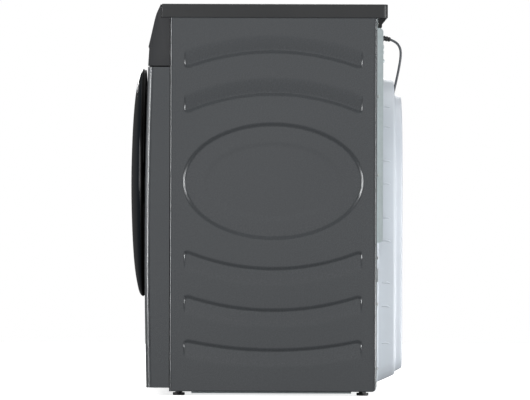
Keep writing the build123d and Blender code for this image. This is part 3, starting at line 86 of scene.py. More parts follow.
def new_material(name):
    """A node material with its tree, its Principled shader and object coordinates."""
    made = bpy.data.materials.new(name)
    made.use_nodes = True
    tree = made.node_tree
    shader = tree.nodes["Principled BSDF"]
    coords = tree.nodes.new("ShaderNodeTexCoord").outputs["Object"]
    return made, tree, shader, coords


def stretched(tree, coords, scale):
    """Coordinates scaled by a different factor along each axis."""
    mapping = tree.nodes.new("ShaderNodeMapping")
    mapping.inputs["Scale"].default_value = scale
    tree.links.new(coords, mapping.inputs["Vector"])
    return mapping.outputs["Vector"]


def noise(tree, coords, scale, detail=3.0, roughness=0.5):
    """A noise field's value."""
    node = tree.nodes.new("ShaderNodeTexNoise")
    node.inputs["Scale"].default_value = scale
    node.inputs["Detail"].default_value = detail
    node.inputs["Roughness"].default_value = roughness
    tree.links.new(coords, node.inputs["Vector"])
    return node.outputs["Fac"]


def remap(tree, value, low, high, from_low=0.3, from_high=0.7):
    """A field moved from one range to another."""
    node = tree.nodes.new("ShaderNodeMapRange")
    node.inputs["From Min"].default_value = from_low
    node.inputs["From Max"].default_value = from_high
    node.inputs["To Min"].default_value = low
    node.inputs["To Max"].default_value = high
    tree.links.new(value, node.inputs["Value"])
    return node.outputs["Result"]


def two_tone(tree, value, low_colour, high_colour, from_low=0.3, from_high=0.7):
    """A colour that goes from one tone to another with a field."""
    ramp = tree.nodes.new("ShaderNodeValToRGB")
    ramp.color_ramp.elements[0].position = from_low
    ramp.color_ramp.elements[0].color = (*low_colour, 1)
    ramp.color_ramp.elements[1].position = from_high
    ramp.color_ramp.elements[1].color = (*high_colour, 1)
    tree.links.new(value, ramp.inputs["Fac"])
    return ramp.outputs["Color"]


def bump(tree, shader, height, distance, strength=0.5):
    """A bump on the shader's normal from a height field."""
    node = tree.nodes.new("ShaderNodeBump")
    node.inputs["Strength"].default_value = strength
    node.inputs["Distance"].default_value = distance
    tree.links.new(height, node.inputs["Height"])
    tree.links.new(node.outputs["Normal"], shader.inputs["Normal"])


def tones(colour, spread):
    """A darker and a lighter tone about a colour."""
    return [tuple(channel * factor for channel in colour) for factor in (1 - spread, 1 + spread)]


def surface(name, colour, roughness, metallic=0.0, grain=900.0, grain_depth=0.00004, mottle=6.0, spread=0.05,
            gloss_spread=0.04, coat=0.0, specular=0.5, stretch=None):
    """A finish with a fine grain, a slow drift of tone and a drift of gloss."""
    made, tree, shader, coords = new_material(name)
    place = stretched(tree, coords, stretch) if stretch else coords
    slow = noise(tree, coords, mottle)
    fine = noise(tree, place, grain, 4.0)
    tree.links.new(two_tone(tree, slow, *tones(colour, spread)), shader.inputs["Base Color"])
    gloss = remap(tree, fine, roughness - gloss_spread, roughness + gloss_spread)
    tree.links.new(gloss, shader.inputs["Roughness"])
    bump(tree, shader, fine, grain_depth)
    shader.inputs["Metallic"].default_value = metallic
    shader.inputs["Coat Weight"].default_value = coat
    shader.inputs["Coat Roughness"].default_value = 0.08
    shader.inputs["Specular IOR Level"].default_value = specular
    return made


def cabinet_paint():
    """Dark grey stoved paint over sheet steel: fine orange peel, a little metal flake."""
    made, tree, shader, coords = new_material("cabinet_paint")
    flake = noise(tree, coords, 2600.0, 2.0)
    peel = noise(tree, coords, 700.0, 2.0)
    slow = noise(tree, coords, 2.2, 2.0)
    mix = tree.nodes.new("ShaderNodeMix")
    mix.data_type = "RGBA"
    mix.blend_type = "MULTIPLY"
    mix.inputs["Factor"].default_value = 1.0
    tree.links.new(two_tone(tree, slow, (0.047, 0.051, 0.055), (0.052, 0.056, 0.060)), mix.inputs["A"])
    tree.links.new(two_tone(tree, flake, (0.96, 0.96, 0.96), (1.03, 1.03, 1.03)), mix.inputs["B"])
    tree.links.new(mix.outputs["Result"], shader.inputs["Base Color"])
    tree.links.new(remap(tree, peel, 0.255, 0.285), shader.inputs["Roughness"])
    bump(tree, shader, peel, 0.00001, 0.2)
    shader.inputs["Metallic"].default_value = 0.15
    shader.inputs["Coat Weight"].default_value = 0.15
    shader.inputs["Coat Roughness"].default_value = 0.2
    return made


def galvanised():
    """Zinc-coated sheet with a faint spangle."""
    made, tree, shader, coords = new_material("galvanised")
    cells = tree.nodes.new("ShaderNodeTexVoronoi")
    cells.inputs["Scale"].default_value = 160.0
    tree.links.new(coords, cells.inputs["Vector"])
    grey = tree.nodes.new("ShaderNodeRGBToBW")
    tree.links.new(cells.outputs["Color"], grey.inputs["Color"])
    spangle = two_tone(tree, grey.outputs["Val"], (0.432, 0.488, 0.498), (0.462, 0.518, 0.528), 0.1, 0.9)
    tree.links.new(spangle, shader.inputs["Base Color"])
    tree.links.new(remap(tree, grey.outputs["Val"], 0.50, 0.58, 0.0, 1.0), shader.inputs["Roughness"])
    bump(tree, shader, noise(tree, coords, 700.0), 0.00003, 0.3)
    shader.inputs["Metallic"].default_value = 0.35
    return made


def drum_steel():
    """Polished stainless sheet, drawn lengthways."""
    made, tree, shader, coords = new_material("drum_steel")
    streaks = noise(tree, stretched(tree, coords, (900.0, 12.0, 900.0)), 1.0, 4.0, 0.6)
    tone = two_tone(tree, streaks, (0.52, 0.53, 0.54), (0.66, 0.67, 0.68))
    tree.links.new(tone, shader.inputs["Base Color"])
    tree.links.new(remap(tree, streaks, 0.18, 0.30), shader.inputs["Roughness"])
    bump(tree, shader, streaks, 0.00002, 0.3)
    shader.inputs["Metallic"].default_value = 1.0
    return made


def bowl_glass():
    """Clear moulded glass with a slight green depth."""
    made, tree, shader, coords = new_material("bowl_glass")
    slow = noise(tree, coords, 30.0)
    tree.links.new(two_tone(tree, slow, (0.86, 0.92, 0.91), (0.93, 0.97, 0.96)), shader.inputs["Base Color"])
    tree.links.new(remap(tree, slow, 0.01, 0.04), shader.inputs["Roughness"])
    shader.inputs["Transmission Weight"].default_value = 1.0
    shader.inputs["IOR"].default_value = 1.5
    bump(tree, shader, slow, 0.0002, 0.2)
    return made


def circuit_board():
    """Green solder mask with lighter tracks."""
    made, tree, shader, coords = new_material("circuit_board")
    lines = tree.nodes.new("ShaderNodeTexBrick")
    lines.inputs["Scale"].default_value = 260.0
    lines.inputs["Color1"].default_value = (0.02, 0.12, 0.05, 1)
    lines.inputs["Color2"].default_value = (0.03, 0.16, 0.07, 1)
    lines.inputs["Mortar"].default_value = (0.12, 0.30, 0.14, 1)
    tree.links.new(coords, lines.inputs["Vector"])
    tree.links.new(lines.outputs["Color"], shader.inputs["Base Color"])
    tree.links.new(remap(tree, noise(tree, coords, 300.0), 0.25, 0.45), shader.inputs["Roughness"])
    bump(tree, shader, lines.outputs["Fac"], 0.00003)
    return made


def door_gloss():
    """Glossy black on the door's dome, and matt black on its turned-in rim."""
    made, tree, shader, coords = new_material("door_gloss")
    back = local_range("door_cover", 1)[1]
    parts = tree.nodes.new("ShaderNodeSeparateXYZ")
    tree.links.new(coords, parts.inputs["Vector"])
    rim = remap(tree, parts.outputs["Y"], 0.0, 1.0, back - 0.0042, back - 0.0026)
    tree.links.new(two_tone(tree, rim, (0.0035, 0.0052, 0.0070), (0.003, 0.003, 0.003), 0.1, 0.9),
                   shader.inputs["Base Color"])
    tree.links.new(remap(tree, rim, 0.13, 0.70, 0.0, 1.0), shader.inputs["Roughness"])
    tree.links.new(remap(tree, rim, 0.28, 0.06, 0.0, 1.0), shader.inputs["Specular IOR Level"])
    bump(tree, shader, noise(tree, coords, 1500.0), 0.000004)
    return made


LOOKS = {
    "cabinet_paint": cabinet_paint(),
    "galvanised": galvanised(),
    "drum_steel": drum_steel(),
    "bowl_glass": bowl_glass(),
    "circuit_board": circuit_board(),
    "door_gloss": door_gloss(),
}

# colour and roughness, then whatever differs from an ordinary plastic
STEEL = dict(metallic=1.0, grain=700.0, grain_depth=0.00002)
FINISHES = {
    "worktop": ((0.028, 0.029, 0.030), 0.44, dict(grain=1100.0, grain_depth=0.00003)),
    "control_plastic": ((0.026, 0.027, 0.029), 0.28, dict(grain=1300.0, grain_depth=0.00001)),
    "cover_plastic": ((0.438, 0.470, 0.510), 0.42,
                      dict(grain=500.0, grain_depth=0.00005, mottle=9.0, spread=0.04)),
    "door_plastic": ((0.004, 0.004, 0.004), 0.65, dict(grain=1500.0, grain_depth=0.00001, specular=0.08)),
    "display_glass": ((0.006, 0.006, 0.007), 0.07,
                      dict(grain=1500.0, grain_depth=0.000004, spread=0.15, gloss_spread=0.02, coat=0.6)),
    "knob_metal": ((0.25, 0.25, 0.26), 0.28, STEEL),
    "drawer_plastic": ((0.030, 0.031, 0.033), 0.30, dict(grain=1300.0, grain_depth=0.00001)),
    "black_rubber": ((0.016, 0.016, 0.017), 0.62, dict(grain=800.0, grain_depth=0.00008)),
    "foot_rubber": ((0.012, 0.012, 0.013), 0.55, dict(grain=900.0, grain_depth=0.00006)),
    "seal_rubber": ((0.20, 0.20, 0.21), 0.58, dict(grain=700.0, grain_depth=0.00008)),
    "cord_pvc": ((0.075, 0.080, 0.090), 0.42, dict(grain=900.0, grain_depth=0.00003)),
    "grey_plastic": ((0.24, 0.25, 0.26), 0.45, {}),
    "tub_plastic": ((0.30, 0.31, 0.32), 0.55, dict(grain=350.0, grain_depth=0.0001, spread=0.09)),
    "white_plastic": ((0.72, 0.73, 0.73), 0.40, {}),
    "black_plastic": ((0.014, 0.014, 0.015), 0.42, {}),
    "concrete": ((0.34, 0.33, 0.32), 0.85, dict(grain=220.0, grain_depth=0.0006, mottle=40.0, spread=0.16)),
    "screw_steel": ((0.50, 0.50, 0.49), 0.30, STEEL),
    "spring_steel": ((0.22, 0.22, 0.23), 0.36, STEEL),
    "cast_aluminium": ((0.50, 0.50, 0.51), 0.48, dict(metallic=0.9, grain=300.0, grain_depth=0.0001)),
    "motor_steel": ((0.22, 0.22, 0.23), 0.38, dict(metallic=0.8, grain=500.0, stretch=(1, 0.1, 1))),
    "hinge_metal": ((0.09, 0.09, 0.10), 0.35, dict(metallic=0.8)),
}
for name, (colour, roughness, rest) in FINISHES.items():
    LOOKS[name] = surface(name, colour, roughness, **rest)

NODE_LOOKS = {
    "worktop": "worktop", "side_panel_right": "cabinet_paint", "side_panel_left": "cabinet_paint",
    "front_panel": "cabinet_paint", "filter_flap": "cabinet_paint", "rear_panel": "galvanised",
    "rear_cover": "cover_plastic", "base_tray": "galvanised", "top_rails": "galvanised",
    "worktop_brackets": "black_plastic", "cabinet_screws": "screw_steel",
    "transit_bolt_caps": "grey_plastic", "control_panel": "control_plastic",
    "display_window": "display_glass", "control_board": "circuit_board", "program_knob": "knob_metal",
    "power_button": "knob_metal", "start_button": "knob_metal", "detergent_drawer": "drawer_plastic",
    "dispenser_housing": "white_plastic", "dispenser_hose": "black_rubber",
    "water_inlet_valve": "white_plastic", "drain_spout": "grey_plastic", "drain_pump": "grey_plastic",
    "drain_filter_cap": "grey_plastic", "sump_hose": "black_rubber", "tub_front": "tub_plastic",
    "tub_rear": "tub_plastic", "tub_screws": "screw_steel", "counterweight_top": "concrete",
    "counterweight_front": "concrete", "heater": "screw_steel", "suspension_springs": "spring_steel",
    "dampers": "black_plastic", "door_seal": "seal_rubber", "drum": "drum_steel",
    "drum_lifters": "grey_plastic", "drum_spider": "cast_aluminium", "drum_shaft": "screw_steel",
    "drum_bearings": "screw_steel", "drum_pulley": "cast_aluminium", "motor": "motor_steel",
    "motor_pulley": "screw_steel", "drive_belt": "black_rubber", "door_cover": "door_gloss",
    "door_frame": "door_plastic", "door_glass": "bowl_glass", "door_latch_hook": "black_plastic",
    "door_lock": "black_plastic", "door_hinge_bracket": "hinge_metal", "door_hinge_arm": "hinge_metal",
    "strain_relief": "black_rubber", "cord_clip": "black_plastic", "power_cord": "cord_pvc",
    "cord_coil": "cord_pvc", "power_plug": "cord_pvc", "foot_front_left": "foot_rubber",
    "foot_front_right": "foot_rubber", "foot_rear_left": "foot_rubber",
    "foot_rear_right": "foot_rubber",
}


def paint_nodes():
    """Give every CAD node its finish; pieces made below stand in for some of them."""
    for name, look in NODE_LOOKS.items():
        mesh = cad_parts[name].data
        mesh.materials.clear()
        mesh.materials.append(LOOKS[look])


paint_nodes()


# ---------------------------------------------------------------- making pieces
def add_piece(name, mesh, look, body, slot, *nodes):
    """A mesh as a named piece that rides on a body and stands for CAD nodes."""
    piece = bpy.data.objects.new(name, mesh)
    bpy.context.collection.objects.link(piece)
    mesh.materials.append(LOOKS[look])
    for face in mesh.polygons:
        face.use_smooth = True
    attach(piece, body)
    if nodes:
        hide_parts(*nodes)
    return piece


def mesh_from(name, vertices, faces):
    """A mesh from its points and faces, with its normals made to agree."""
    mesh = bpy.data.meshes.new(name)
    mesh.from_pydata(vertices, [], faces)
    work = bmesh.new()
    work.from_mesh(mesh)
    bmesh.ops.recalc_face_normals(work, faces=work.faces)
    work.to_mesh(mesh)
    work.free()
    return mesh


def skin_rings(name, rings):
    """A mesh that runs over a list of rings with as many points each, closed at both ends."""
    count = len(rings[0])
    faces = [tuple(range(count)), tuple(range((len(rings) - 1) * count, len(rings) * count))]
    for ring in range(len(rings) - 1):
        for index in range(count):
            after = (index + 1) % count
            base = ring * count
            faces.append((base + index, base + after, base + count + after, base + count + index))
    return mesh_from(name, [point for ring in rings for point in ring], faces)


def lathe(name, start, direction, stations, sides=28):
    """A closed turned solid along a line, from (distance, radius) stations."""
    direction = Vector(direction).normalized()
    side = direction.orthogonal().normalized()
    up = direction.cross(side)
    turn = [2 * math.pi * index / sides for index in range(sides)]
    rings = []
    for distance, radius in stations:
        centre = Vector(start) + direction * distance
        rings.append([tuple(centre + (side * math.cos(a) + up * math.sin(a)) * radius) for a in turn])
    return skin_rings(name, rings)


def smooth_step(value):
    """0 below 0, 1 above 1, and an even S between."""
    value = min(max(value, 0.0), 1.0)
    return value * value * (3 - 2 * value)


# ---------------------------------------------------------------- mains lead
CORD_RADIUS = 2.75 * MM
CORD_REST = CORD_RADIUS + 0.2 * MM
CORD_ROUTE = [(-0.150, 0.2752, 0.7849), (-0.150, 0.2898, 0.7796), (-0.150, 0.2998, 0.7677),
              (-0.1505, 0.3025, 0.7524), (-0.152, 0.2995, 0.7276), (-0.156, 0.292, 0.690),
              (-0.174, 0.2815, 0.645), (-0.213, 0.273, 0.598), (-0.244, 0.266, 0.545),
              (-0.259, 0.2625, 0.478), (-0.263, 0.263, 0.402), (-0.261, 0.262, 0.324),
              (-0.264, 0.259, 0.247), (-0.270, 0.2565, 0.172), (-0.284, 0.257, 0.108),
              (-0.303, 0.257, 0.060), (-0.326, 0.242, 0.021), (-0.343, 0.203, CORD_REST),
              (-0.343, 0.163, CORD_REST)]
COIL_CENTRE = (-0.379, 0.130)
COIL_OUTER = 36.0 * MM
COIL_INNER = 27.75 * MM
COIL_TURNS = 3
TURN_POINTS = 14
COIL_STUB = 0.033            # from the coil's middle to the end of the lead in the plug


def coil_points():
    """Three turns of the lead: in along the floor for half of them, then out again on top."""
    points = []
    steps = COIL_TURNS * TURN_POINTS
    for step in range(steps + 1):
        way = step / steps
        angle = -2 * math.pi * step / TURN_POINTS
        inward = 1 - abs(2 * way - 1)
        radius = COIL_OUTER + (COIL_INNER - COIL_OUTER) * inward
        height = CORD_REST * (1 + 2 * smooth_step((way - 0.44) / 0.12))
        x = COIL_CENTRE[0] + radius * math.cos(angle)
        y = COIL_CENTRE[1] + radius * math.sin(angle)
        points.append((x, y, height))
    return points


def add_cord():
    """The lead as one smooth curve from the strain relief to the plug, with its coil."""
    tail = [(CORD_ROUTE[-1][0], COIL_CENTRE[1] - along, 3 * CORD_REST) for along in (0.018, COIL_STUB)]
    points = CORD_ROUTE + coil_points() + tail
    curve = bpy.data.curves.new("power_cord_line", "CURVE")
    curve.dimensions = "3D"
    spline = curve.splines.new("NURBS")
    spline.points.add(len(points) - 1)
    for point, place in zip(spline.points, points):
        point.co = (*place, 1.0)
    spline.order_u = 3
    spline.use_endpoint_u = True
    spline.resolution_u = 8
    curve.bevel_depth = CORD_RADIUS
    curve.bevel_resolution = 5
    curve.use_fill_caps = True
    curve.materials.append(LOOKS["cord_pvc"])
    cord = bpy.data.objects.new("power_cord_line", curve)
    bpy.context.collection.objects.link(cord)
    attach(cord, "cabinet")
    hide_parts("power_cord", "cord_coil")
    return cord


SLEEVE_RIBS = 5
SLEEVE_START = 0.0046        # from the panel to the first rib
SLEEVE_REACH = 0.0290        # length of the ribbed taper


def add_strain_relief():
    """The rubber sleeve: a collar on the panel, then a ribbed taper down to the lead."""
    end = Vector(CORD_ROUTE[0])
    lead_out = (Vector(CORD_ROUTE[1]) - end).normalized()
    low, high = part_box("strain_relief")
    wall = Vector((end.x, low[1] + 0.006, high[2] - 0.009))
    stations = [(0.0, 0.0086), (0.0024, 0.0088), (0.003, 0.0082), (0.0034, 0.0064)]
    for rib in range(SLEEVE_RIBS):
        along = SLEEVE_START + SLEEVE_REACH * rib / SLEEVE_RIBS
        radius = 0.0062 - 0.0006 * rib / SLEEVE_RIBS
        stations += [(along, radius), (along + 0.0034, radius)]
        stations += [(along + 0.0038, radius - 0.0013), (along + 0.0046, radius - 0.0013)]
    tip = SLEEVE_START + SLEEVE_REACH
    stations += [(tip, 0.0054), (tip + 0.0030, 0.0050), (tip + 0.0045, 0.0034)]
    mesh = lathe("strain_relief_sleeve", wall, end + lead_out * 0.004 - wall, stations)
    look = "black_rubber"
    return add_piece("strain_relief_sleeve", mesh, look, "cabinet", look, "strain_relief")


PIN_LENGTH = 0.018
PIN_PLACES = [(-0.0095, -0.0015), (0.0, 0.003), (0.0095, -0.0015)]    # across and up from the plug's middle
PLUG_TAIL = 0.012
PLUG_FILL = 0.985            # share of its CAD box that the body takes up
PLUG_ROUNDNESS = 0.55        # 1 is an ellipse, and 0 is a box
PLUG_RINGS = 14
PLUG_SIDES = 32


def plug_rings(low, high):
    """Rounded sections along the plug's body, narrower towards the tail."""
    middle = (low + high) / 2
    half_width = (high.x - low.x) / 2 * PLUG_FILL
    half_height = (high.z - low.z) / 2 * PLUG_FILL
    start, length = low.y + PIN_LENGTH, high.y - PLUG_TAIL - low.y - PIN_LENGTH
    rings = []
    for step in range(PLUG_RINGS + 1):
        way = step / PLUG_RINGS
        squeeze = 1 - 0.38 * smooth_step((way - 0.45) / 0.55) - 0.06 * (1 - smooth_step(way / 0.12))
        ring = []
        for index in range(PLUG_SIDES):
            angle = 2 * math.pi * index / PLUG_SIDES
            across = math.copysign(abs(math.cos(angle)) ** PLUG_ROUNDNESS, math.cos(angle))
            up = math.copysign(abs(math.sin(angle)) ** PLUG_ROUNDNESS, math.sin(angle))
            ring.append((middle.x + half_width * squeeze * across, start + length * way,
                         middle.z + half_height * (1 + squeeze) / 2 * up))
        rings.append(ring)
    return rings


def add_plug():
    """The moulded plug, softly rounded, with a ribbed tail and three pins."""
    low, high = (Vector(corner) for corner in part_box("power_plug"))
    middle = (low + high) / 2
    body = skin_rings("power_plug_body", plug_rings(low, high))
    plug = add_piece("power_plug_body", body, "cord_pvc", "cabinet", "cord_pvc", "power_plug")
    stations = [(0.0, 0.0058), (0.003, 0.0058), (0.0034, 0.0046), (0.0055, 0.0046), (0.006, 0.0052),
                (0.0085, 0.0050), (0.009, 0.0042), (PLUG_TAIL, 0.0040)]
    tail = lathe("power_plug_tail", (middle.x, high.y - PLUG_TAIL - 0.001, middle.z), (0, 1, 0), stations)
    add_piece("power_plug_tail", tail, "cord_pvc", "cabinet", "cord_pvc")
    for number, (offset, lift) in enumerate(PIN_PLACES, 1):
        stations = [(0.0, 0.0012), (0.001, 0.0021), (0.0022, 0.0023), (PIN_LENGTH + 0.001, 0.0023)]
        pin = lathe("plug_pin", (middle.x + offset, low.y, middle.z + lift), (0, 1, 0), stations, 16)
        add_piece("power_plug_pin_%d" % number, pin, "screw_steel", "cabinet", "screw_steel")
    return plug


cord = add_cord()
sleeve = add_strain_relief()
plug = add_plug()


# ---------------------------------------------------------------- pressed side panels
# heights of the middle of each rib's line at its crown and at its ends
RIB_HEIGHTS = [(0.764, 0.729), (0.672, 0.632), (0.2585, 0.2965), (0.1685, 0.200), (0.082, 0.103)]
RIB_HALF_LENGTH = 0.194
RIB_HALF_WIDTH = 0.0205
RIB_CORNER = 0.0125
STEEP = 0.0064               # width of the slope on the side of a rib that faces the oval
END_SLOPE = 0.0038
GENTLE = 0.0380              # width of the slope on its far side
FAR_SOFTNESS = 0.15          # how much of the far slope is a soft start
PRESS_DEPTH = 0.0027
OVAL_CENTRE = 0.4656
OVAL_HALF = (0.197, 0.127)
OVAL_INNER = (0.1525, 0.088)
OVAL_SLOPE = 0.0070
OVAL_DEPTH = 0.0034
OVAL_INNER_SLOPE = 0.014
OVAL_INNER_DEPTH = 0.0004
SIDE_CORNER = 0.010
SIDE_FOLD = 0.005
SIDE_FLANGE = 0.014
SHEET = 0.0012
CELL = 0.0022                # spacing of the mesh's points
FINE_CELL = 0.0009           # their spacing where the ribs and the oval end
FINE_MIDDLE = RIB_HALF_LENGTH - 0.002
FINE_REACH = 0.006


class PressedSide:
    """The press tool's shape for a side panel: how far in the sheet lies at each place."""

    def __init__(self):
        low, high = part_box("side_panel_right")
        self.y0, self.z0 = low[1], low[2]
        self.y1, self.z1 = high[1], high[2]
        self.middle = (self.y0 + self.y1) / 2
        self.ribs = [self.arc(crown, ends) for crown, ends in RIB_HEIGHTS]

    def arc(self, crown, ends):
        """The centre height and radius of a rib's line, and 1 if it arches up or -1 if it hangs down."""
        rise = crown - ends
        radius = (RIB_HALF_LENGTH ** 2 + rise ** 2) / (2 * abs(rise))
        side = math.copysign(1.0, rise)
        return crown - side * radius, radius, side

    def rib_depth(self, y, z, rib):
        """How far a rib presses the sheet in: steep at its ends and near the oval, gentle beyond."""
        centre, radius, side = rib
        across = y - self.middle
        outward = math.hypot(across, z - centre) - radius
        end = RIB_HALF_LENGTH - abs(across)
        near = RIB_HALF_WIDTH + outward
        far = RIB_HALF_WIDTH - outward
        if min(end, near, far) <= 0:
            return 0.0
        inside = min(near, end)
        if max(near, end) < RIB_CORNER:
            inside = RIB_CORNER - math.hypot(RIB_CORNER - near, RIB_CORNER - end)
        steep = END_SLOPE if end < near else STEEP
        rise = min(far / GENTLE, 1.0)
        gentle = rise * rise * (1 + FAR_SOFTNESS) / (rise + FAR_SOFTNESS)
        return PRESS_DEPTH * smooth_step(inside / steep) * gentle

    def oval_inside(self, y, z, half):
        """Roughly how far a place lies inside an ellipse; negative outside."""
        u, v = (y - self.middle) / half[0], (z - OVAL_CENTRE) / half[1]
        radius = math.hypot(u, v)
        slope = math.hypot(u / half[0], v / half[1])
        return (1 - radius) * radius / slope if radius > 0.05 else min(half)

    def depth(self, y, z):
        """How far the sheet is pressed in."""
        inside = self.oval_inside(y, z, OVAL_HALF)
        if inside > 0:
            inner = smooth_step(self.oval_inside(y, z, OVAL_INNER) / OVAL_INNER_SLOPE)
            return OVAL_DEPTH * smooth_step(inside / OVAL_SLOPE) + OVAL_INNER_DEPTH * inner
        return max(self.rib_depth(y, z, rib) for rib in self.ribs)


def flat_places(low, high):
    """Places across the flat, closer together where the ribs and the oval end."""
    place, places = low, []
    while place < high - CELL:
        from_end = abs(abs(place - (low + high) / 2) - FINE_MIDDLE)
        place += FINE_CELL if from_end < FINE_REACH else CELL
        places.append(place)
    return places[:-1]


def edge_profile(low, high, fold, flange):
    """Places and setbacks across a folded sheet: a flange, a rounded edge, the flat and the same again."""
    turn = [math.radians(90 * step / 6) for step in range(7)]
    first = [(low + fold - fold * math.cos(a), fold - fold * math.sin(a)) for a in turn]
    flat = [(place, 0.0) for place in flat_places(low + fold, high - fold)]
    last = [(low + high - place, setback) for place, setback in reversed(first)]
    return [(low, fold + flange)] + first + flat + last + [(high, fold + flange)]


def lowest(side, place):
    """The lowest height of the sheet at a place, with its rounded lower rear corner."""
    beyond = max(place - (side.y1 - SIDE_CORNER), 0.0)
    return side.z0 + SIDE_CORNER - math.sqrt(max(SIDE_CORNER ** 2 - beyond ** 2, 0.0))


def lattice(first, columns, rows, next_column, next_row):
    """The faces between evenly numbered points, from the number of the first of them."""
    faces = []
    for row in range(rows - 1):
        for column in range(columns - 1):
            base = first + row * next_row + column * next_column
            faces.append((base, base + next_column, base + next_column + next_row, base + next_row))
    return faces


def add_side_panel(node, sign):
    """A side panel as one fine mesh with its pressed ribs and its folded front and rear edges."""
    side = PressedSide()
    face = abs(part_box(node)[0 if sign < 0 else 1][0])
    across = edge_profile(side.y0, side.y1, SIDE_FOLD, SIDE_FLANGE)
    steps = round((side.z1 - side.z0) / CELL)
    up = [side.z0 + (side.z1 - side.z0) * step / steps for step in range(steps + 1)]
    vertices = []
    for layer in (0.0, SHEET):
        for z in up:
            for place, setback in across:
                height = max(z, lowest(side, place))
                inset = setback + side.depth(place, height) + (layer if setback < SIDE_FOLD else 0.0)
                y = place
                if layer and setback > 0:
                    y += math.copysign(SHEET, side.middle - place) * min(1.0, setback / SIDE_FOLD)
                vertices.append((sign * (face - inset), y, height))
    width, rows = len(across), len(up)
    back = rows * width
    faces = lattice(0, width, rows, 1, width) + lattice(back, width, rows, 1, width)
    for row in (0, rows - 1):
        faces += lattice(row * width, width, 2, 1, back)
    for column in (0, width - 1):
        faces += lattice(column, rows, 2, width, back)
    mesh = mesh_from(node + "_sheet", vertices, faces)
    add_piece(node + "_sheet", mesh, "cabinet_paint", "cabinet", "cabinet_paint", node)


add_side_panel("side_panel_right", 1)
add_side_panel("side_panel_left", -1)


# ---------------------------------------------------------------- rounded edges
FLAT_ANGLE = math.radians(0.6)      # faces that meet at less are one face
EDGE_ANGLE = math.radians(28)       # faces that meet at more have an edge between them
SHADE_ANGLE = math.radians(32)      # shading is smooth up to here


def softened(node, look, width, chosen):
    """A CAD node's shape with some of its sharp edges rounded."""
    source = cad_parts[node]
    mesh = bpy.data.meshes.new(node + "_soft")
    work = bmesh.new()
    work.from_mesh(source.data)
    work.transform(source.matrix_world)
    bmesh.ops.remove_doubles(work, verts=work.verts, dist=0.002 * MM)
    bmesh.ops.dissolve_limit(work, angle_limit=FLAT_ANGLE, verts=work.verts, edges=work.edges)
    sharp = [edge for edge in work.edges
             if len(edge.link_faces) == 2 and edge.calc_face_angle() > EDGE_ANGLE and chosen(edge)]
    bmesh.ops.bevel(work, geom=sharp, offset=width, segments=6, profile=0.5, affect="EDGES",
                    clamp_overlap=True)
    work.to_mesh(mesh)
    work.free()
    add_piece(node + "_soft", mesh, look, "cabinet", look, node)
    mesh.set_sharp_from_angle(angle=SHADE_ANGLE)


def outside_edge(edge):
    """Whether an edge lies on the outer face of either side of the machine."""
    side = abs(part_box("control_panel")[1][0]) - 0.0002
    return all(abs(vertex.co.x) > side for vertex in edge.verts)


softened("control_panel", "control_plastic", 0.0050, outside_edge)
softened("worktop", "worktop", 0.0016, lambda edge: True)


# ---------------------------------------------------------------- rear cover
ARCH_CENTRE = 461.0
COVER_SKIN = 2.0
WALL_RADIUS = 235.0          # of the arch where the cover's wall starts
WALL_TAPER = 6 / 40.6        # how much it narrows for each millimetre of rise
ARCH_STEPS = 96
LEG_STEPS = 24
FOOT_STEPS = 10
BASE_STEPS = 16
RIB_MARKS = (629, 585, 510, 460, 386, 336, 245, 193, 113)    # heights of the small ribs on the cover's walls
# the arch's radius, its bottom, the rounding of its feet and its rise, from the flange to the raised field
OUTER_STATIONS = [(238, 24, 42, 0), (238, 24, 42, 1.4), (237.4, 24.6, 41.6, 1.9), (236, 26, 40.6, 2.1),
                  (235, 27.2, 40, 2.8), (234.2, 28.6, 39.6, 5.5), (232, 35, 38, 20.3),
                  (229.9, 41.4, 36.6, 34.5), (229.3, 43.2, 36.2, 37.8), (228.2, 44.8, 36, 39.6),
                  (226.2, 46.2, 35.8, 40.5), (223, 47, 35.6, 40.8), (201, 49.4, 34.2, 41.0),
                  (198.6, 49.8, 34, 41.5), (197.2, 50.3, 34, 43.2), (196.4, 51.6, 33.4, 46),
                  (194.4, 55.6, 31.4, 53.2), (193.6, 57, 30.8, 55.3), (191.8, 58.6, 30.4, 56.7),
                  (188.5, 61, 30, 57.3), (176, 72, 29, 57.35), (172.5, 75.5, 28.6, 57.0),
                  (170.2, 77.8, 28.2, 55.6), (168, 80, 28, 54.9), (162, 86, 27, 54.7),
                  (96, 240, 24, 54.5), (92, 246, 23, 54.9), (89, 250, 22, 56.2), (85, 254, 21, 56.6),
                  (40, 330, 18, 56.8)]


def arch_ring(radius, bottom, corner, y):
    """Points round an arch: a half round top, straight sides and two rounded feet. Sizes in millimetres."""
    points = [(radius * math.cos(a), ARCH_CENTRE + radius * math.sin(a))
              for a in (math.pi * step / ARCH_STEPS for step in range(ARCH_STEPS + 1))]
    leg = ARCH_CENTRE - bottom - corner
    left = [(-radius, ARCH_CENTRE - leg * step / LEG_STEPS) for step in range(1, LEG_STEPS)]
    foot = [(-radius + corner - corner * math.cos(a), bottom + corner - corner * math.sin(a))
            for a in (math.pi / 2 * step / FOOT_STEPS for step in range(FOOT_STEPS + 1))]
    half = radius - corner
    base = [(-half + 2 * half * step / BASE_STEPS, bottom) for step in range(1, BASE_STEPS)]
    mirrored = [(-x, z) for x, z in reversed(left + foot)]
    return [(x * MM, y * MM, z * MM) for x, z in points + left + foot + base + mirrored]


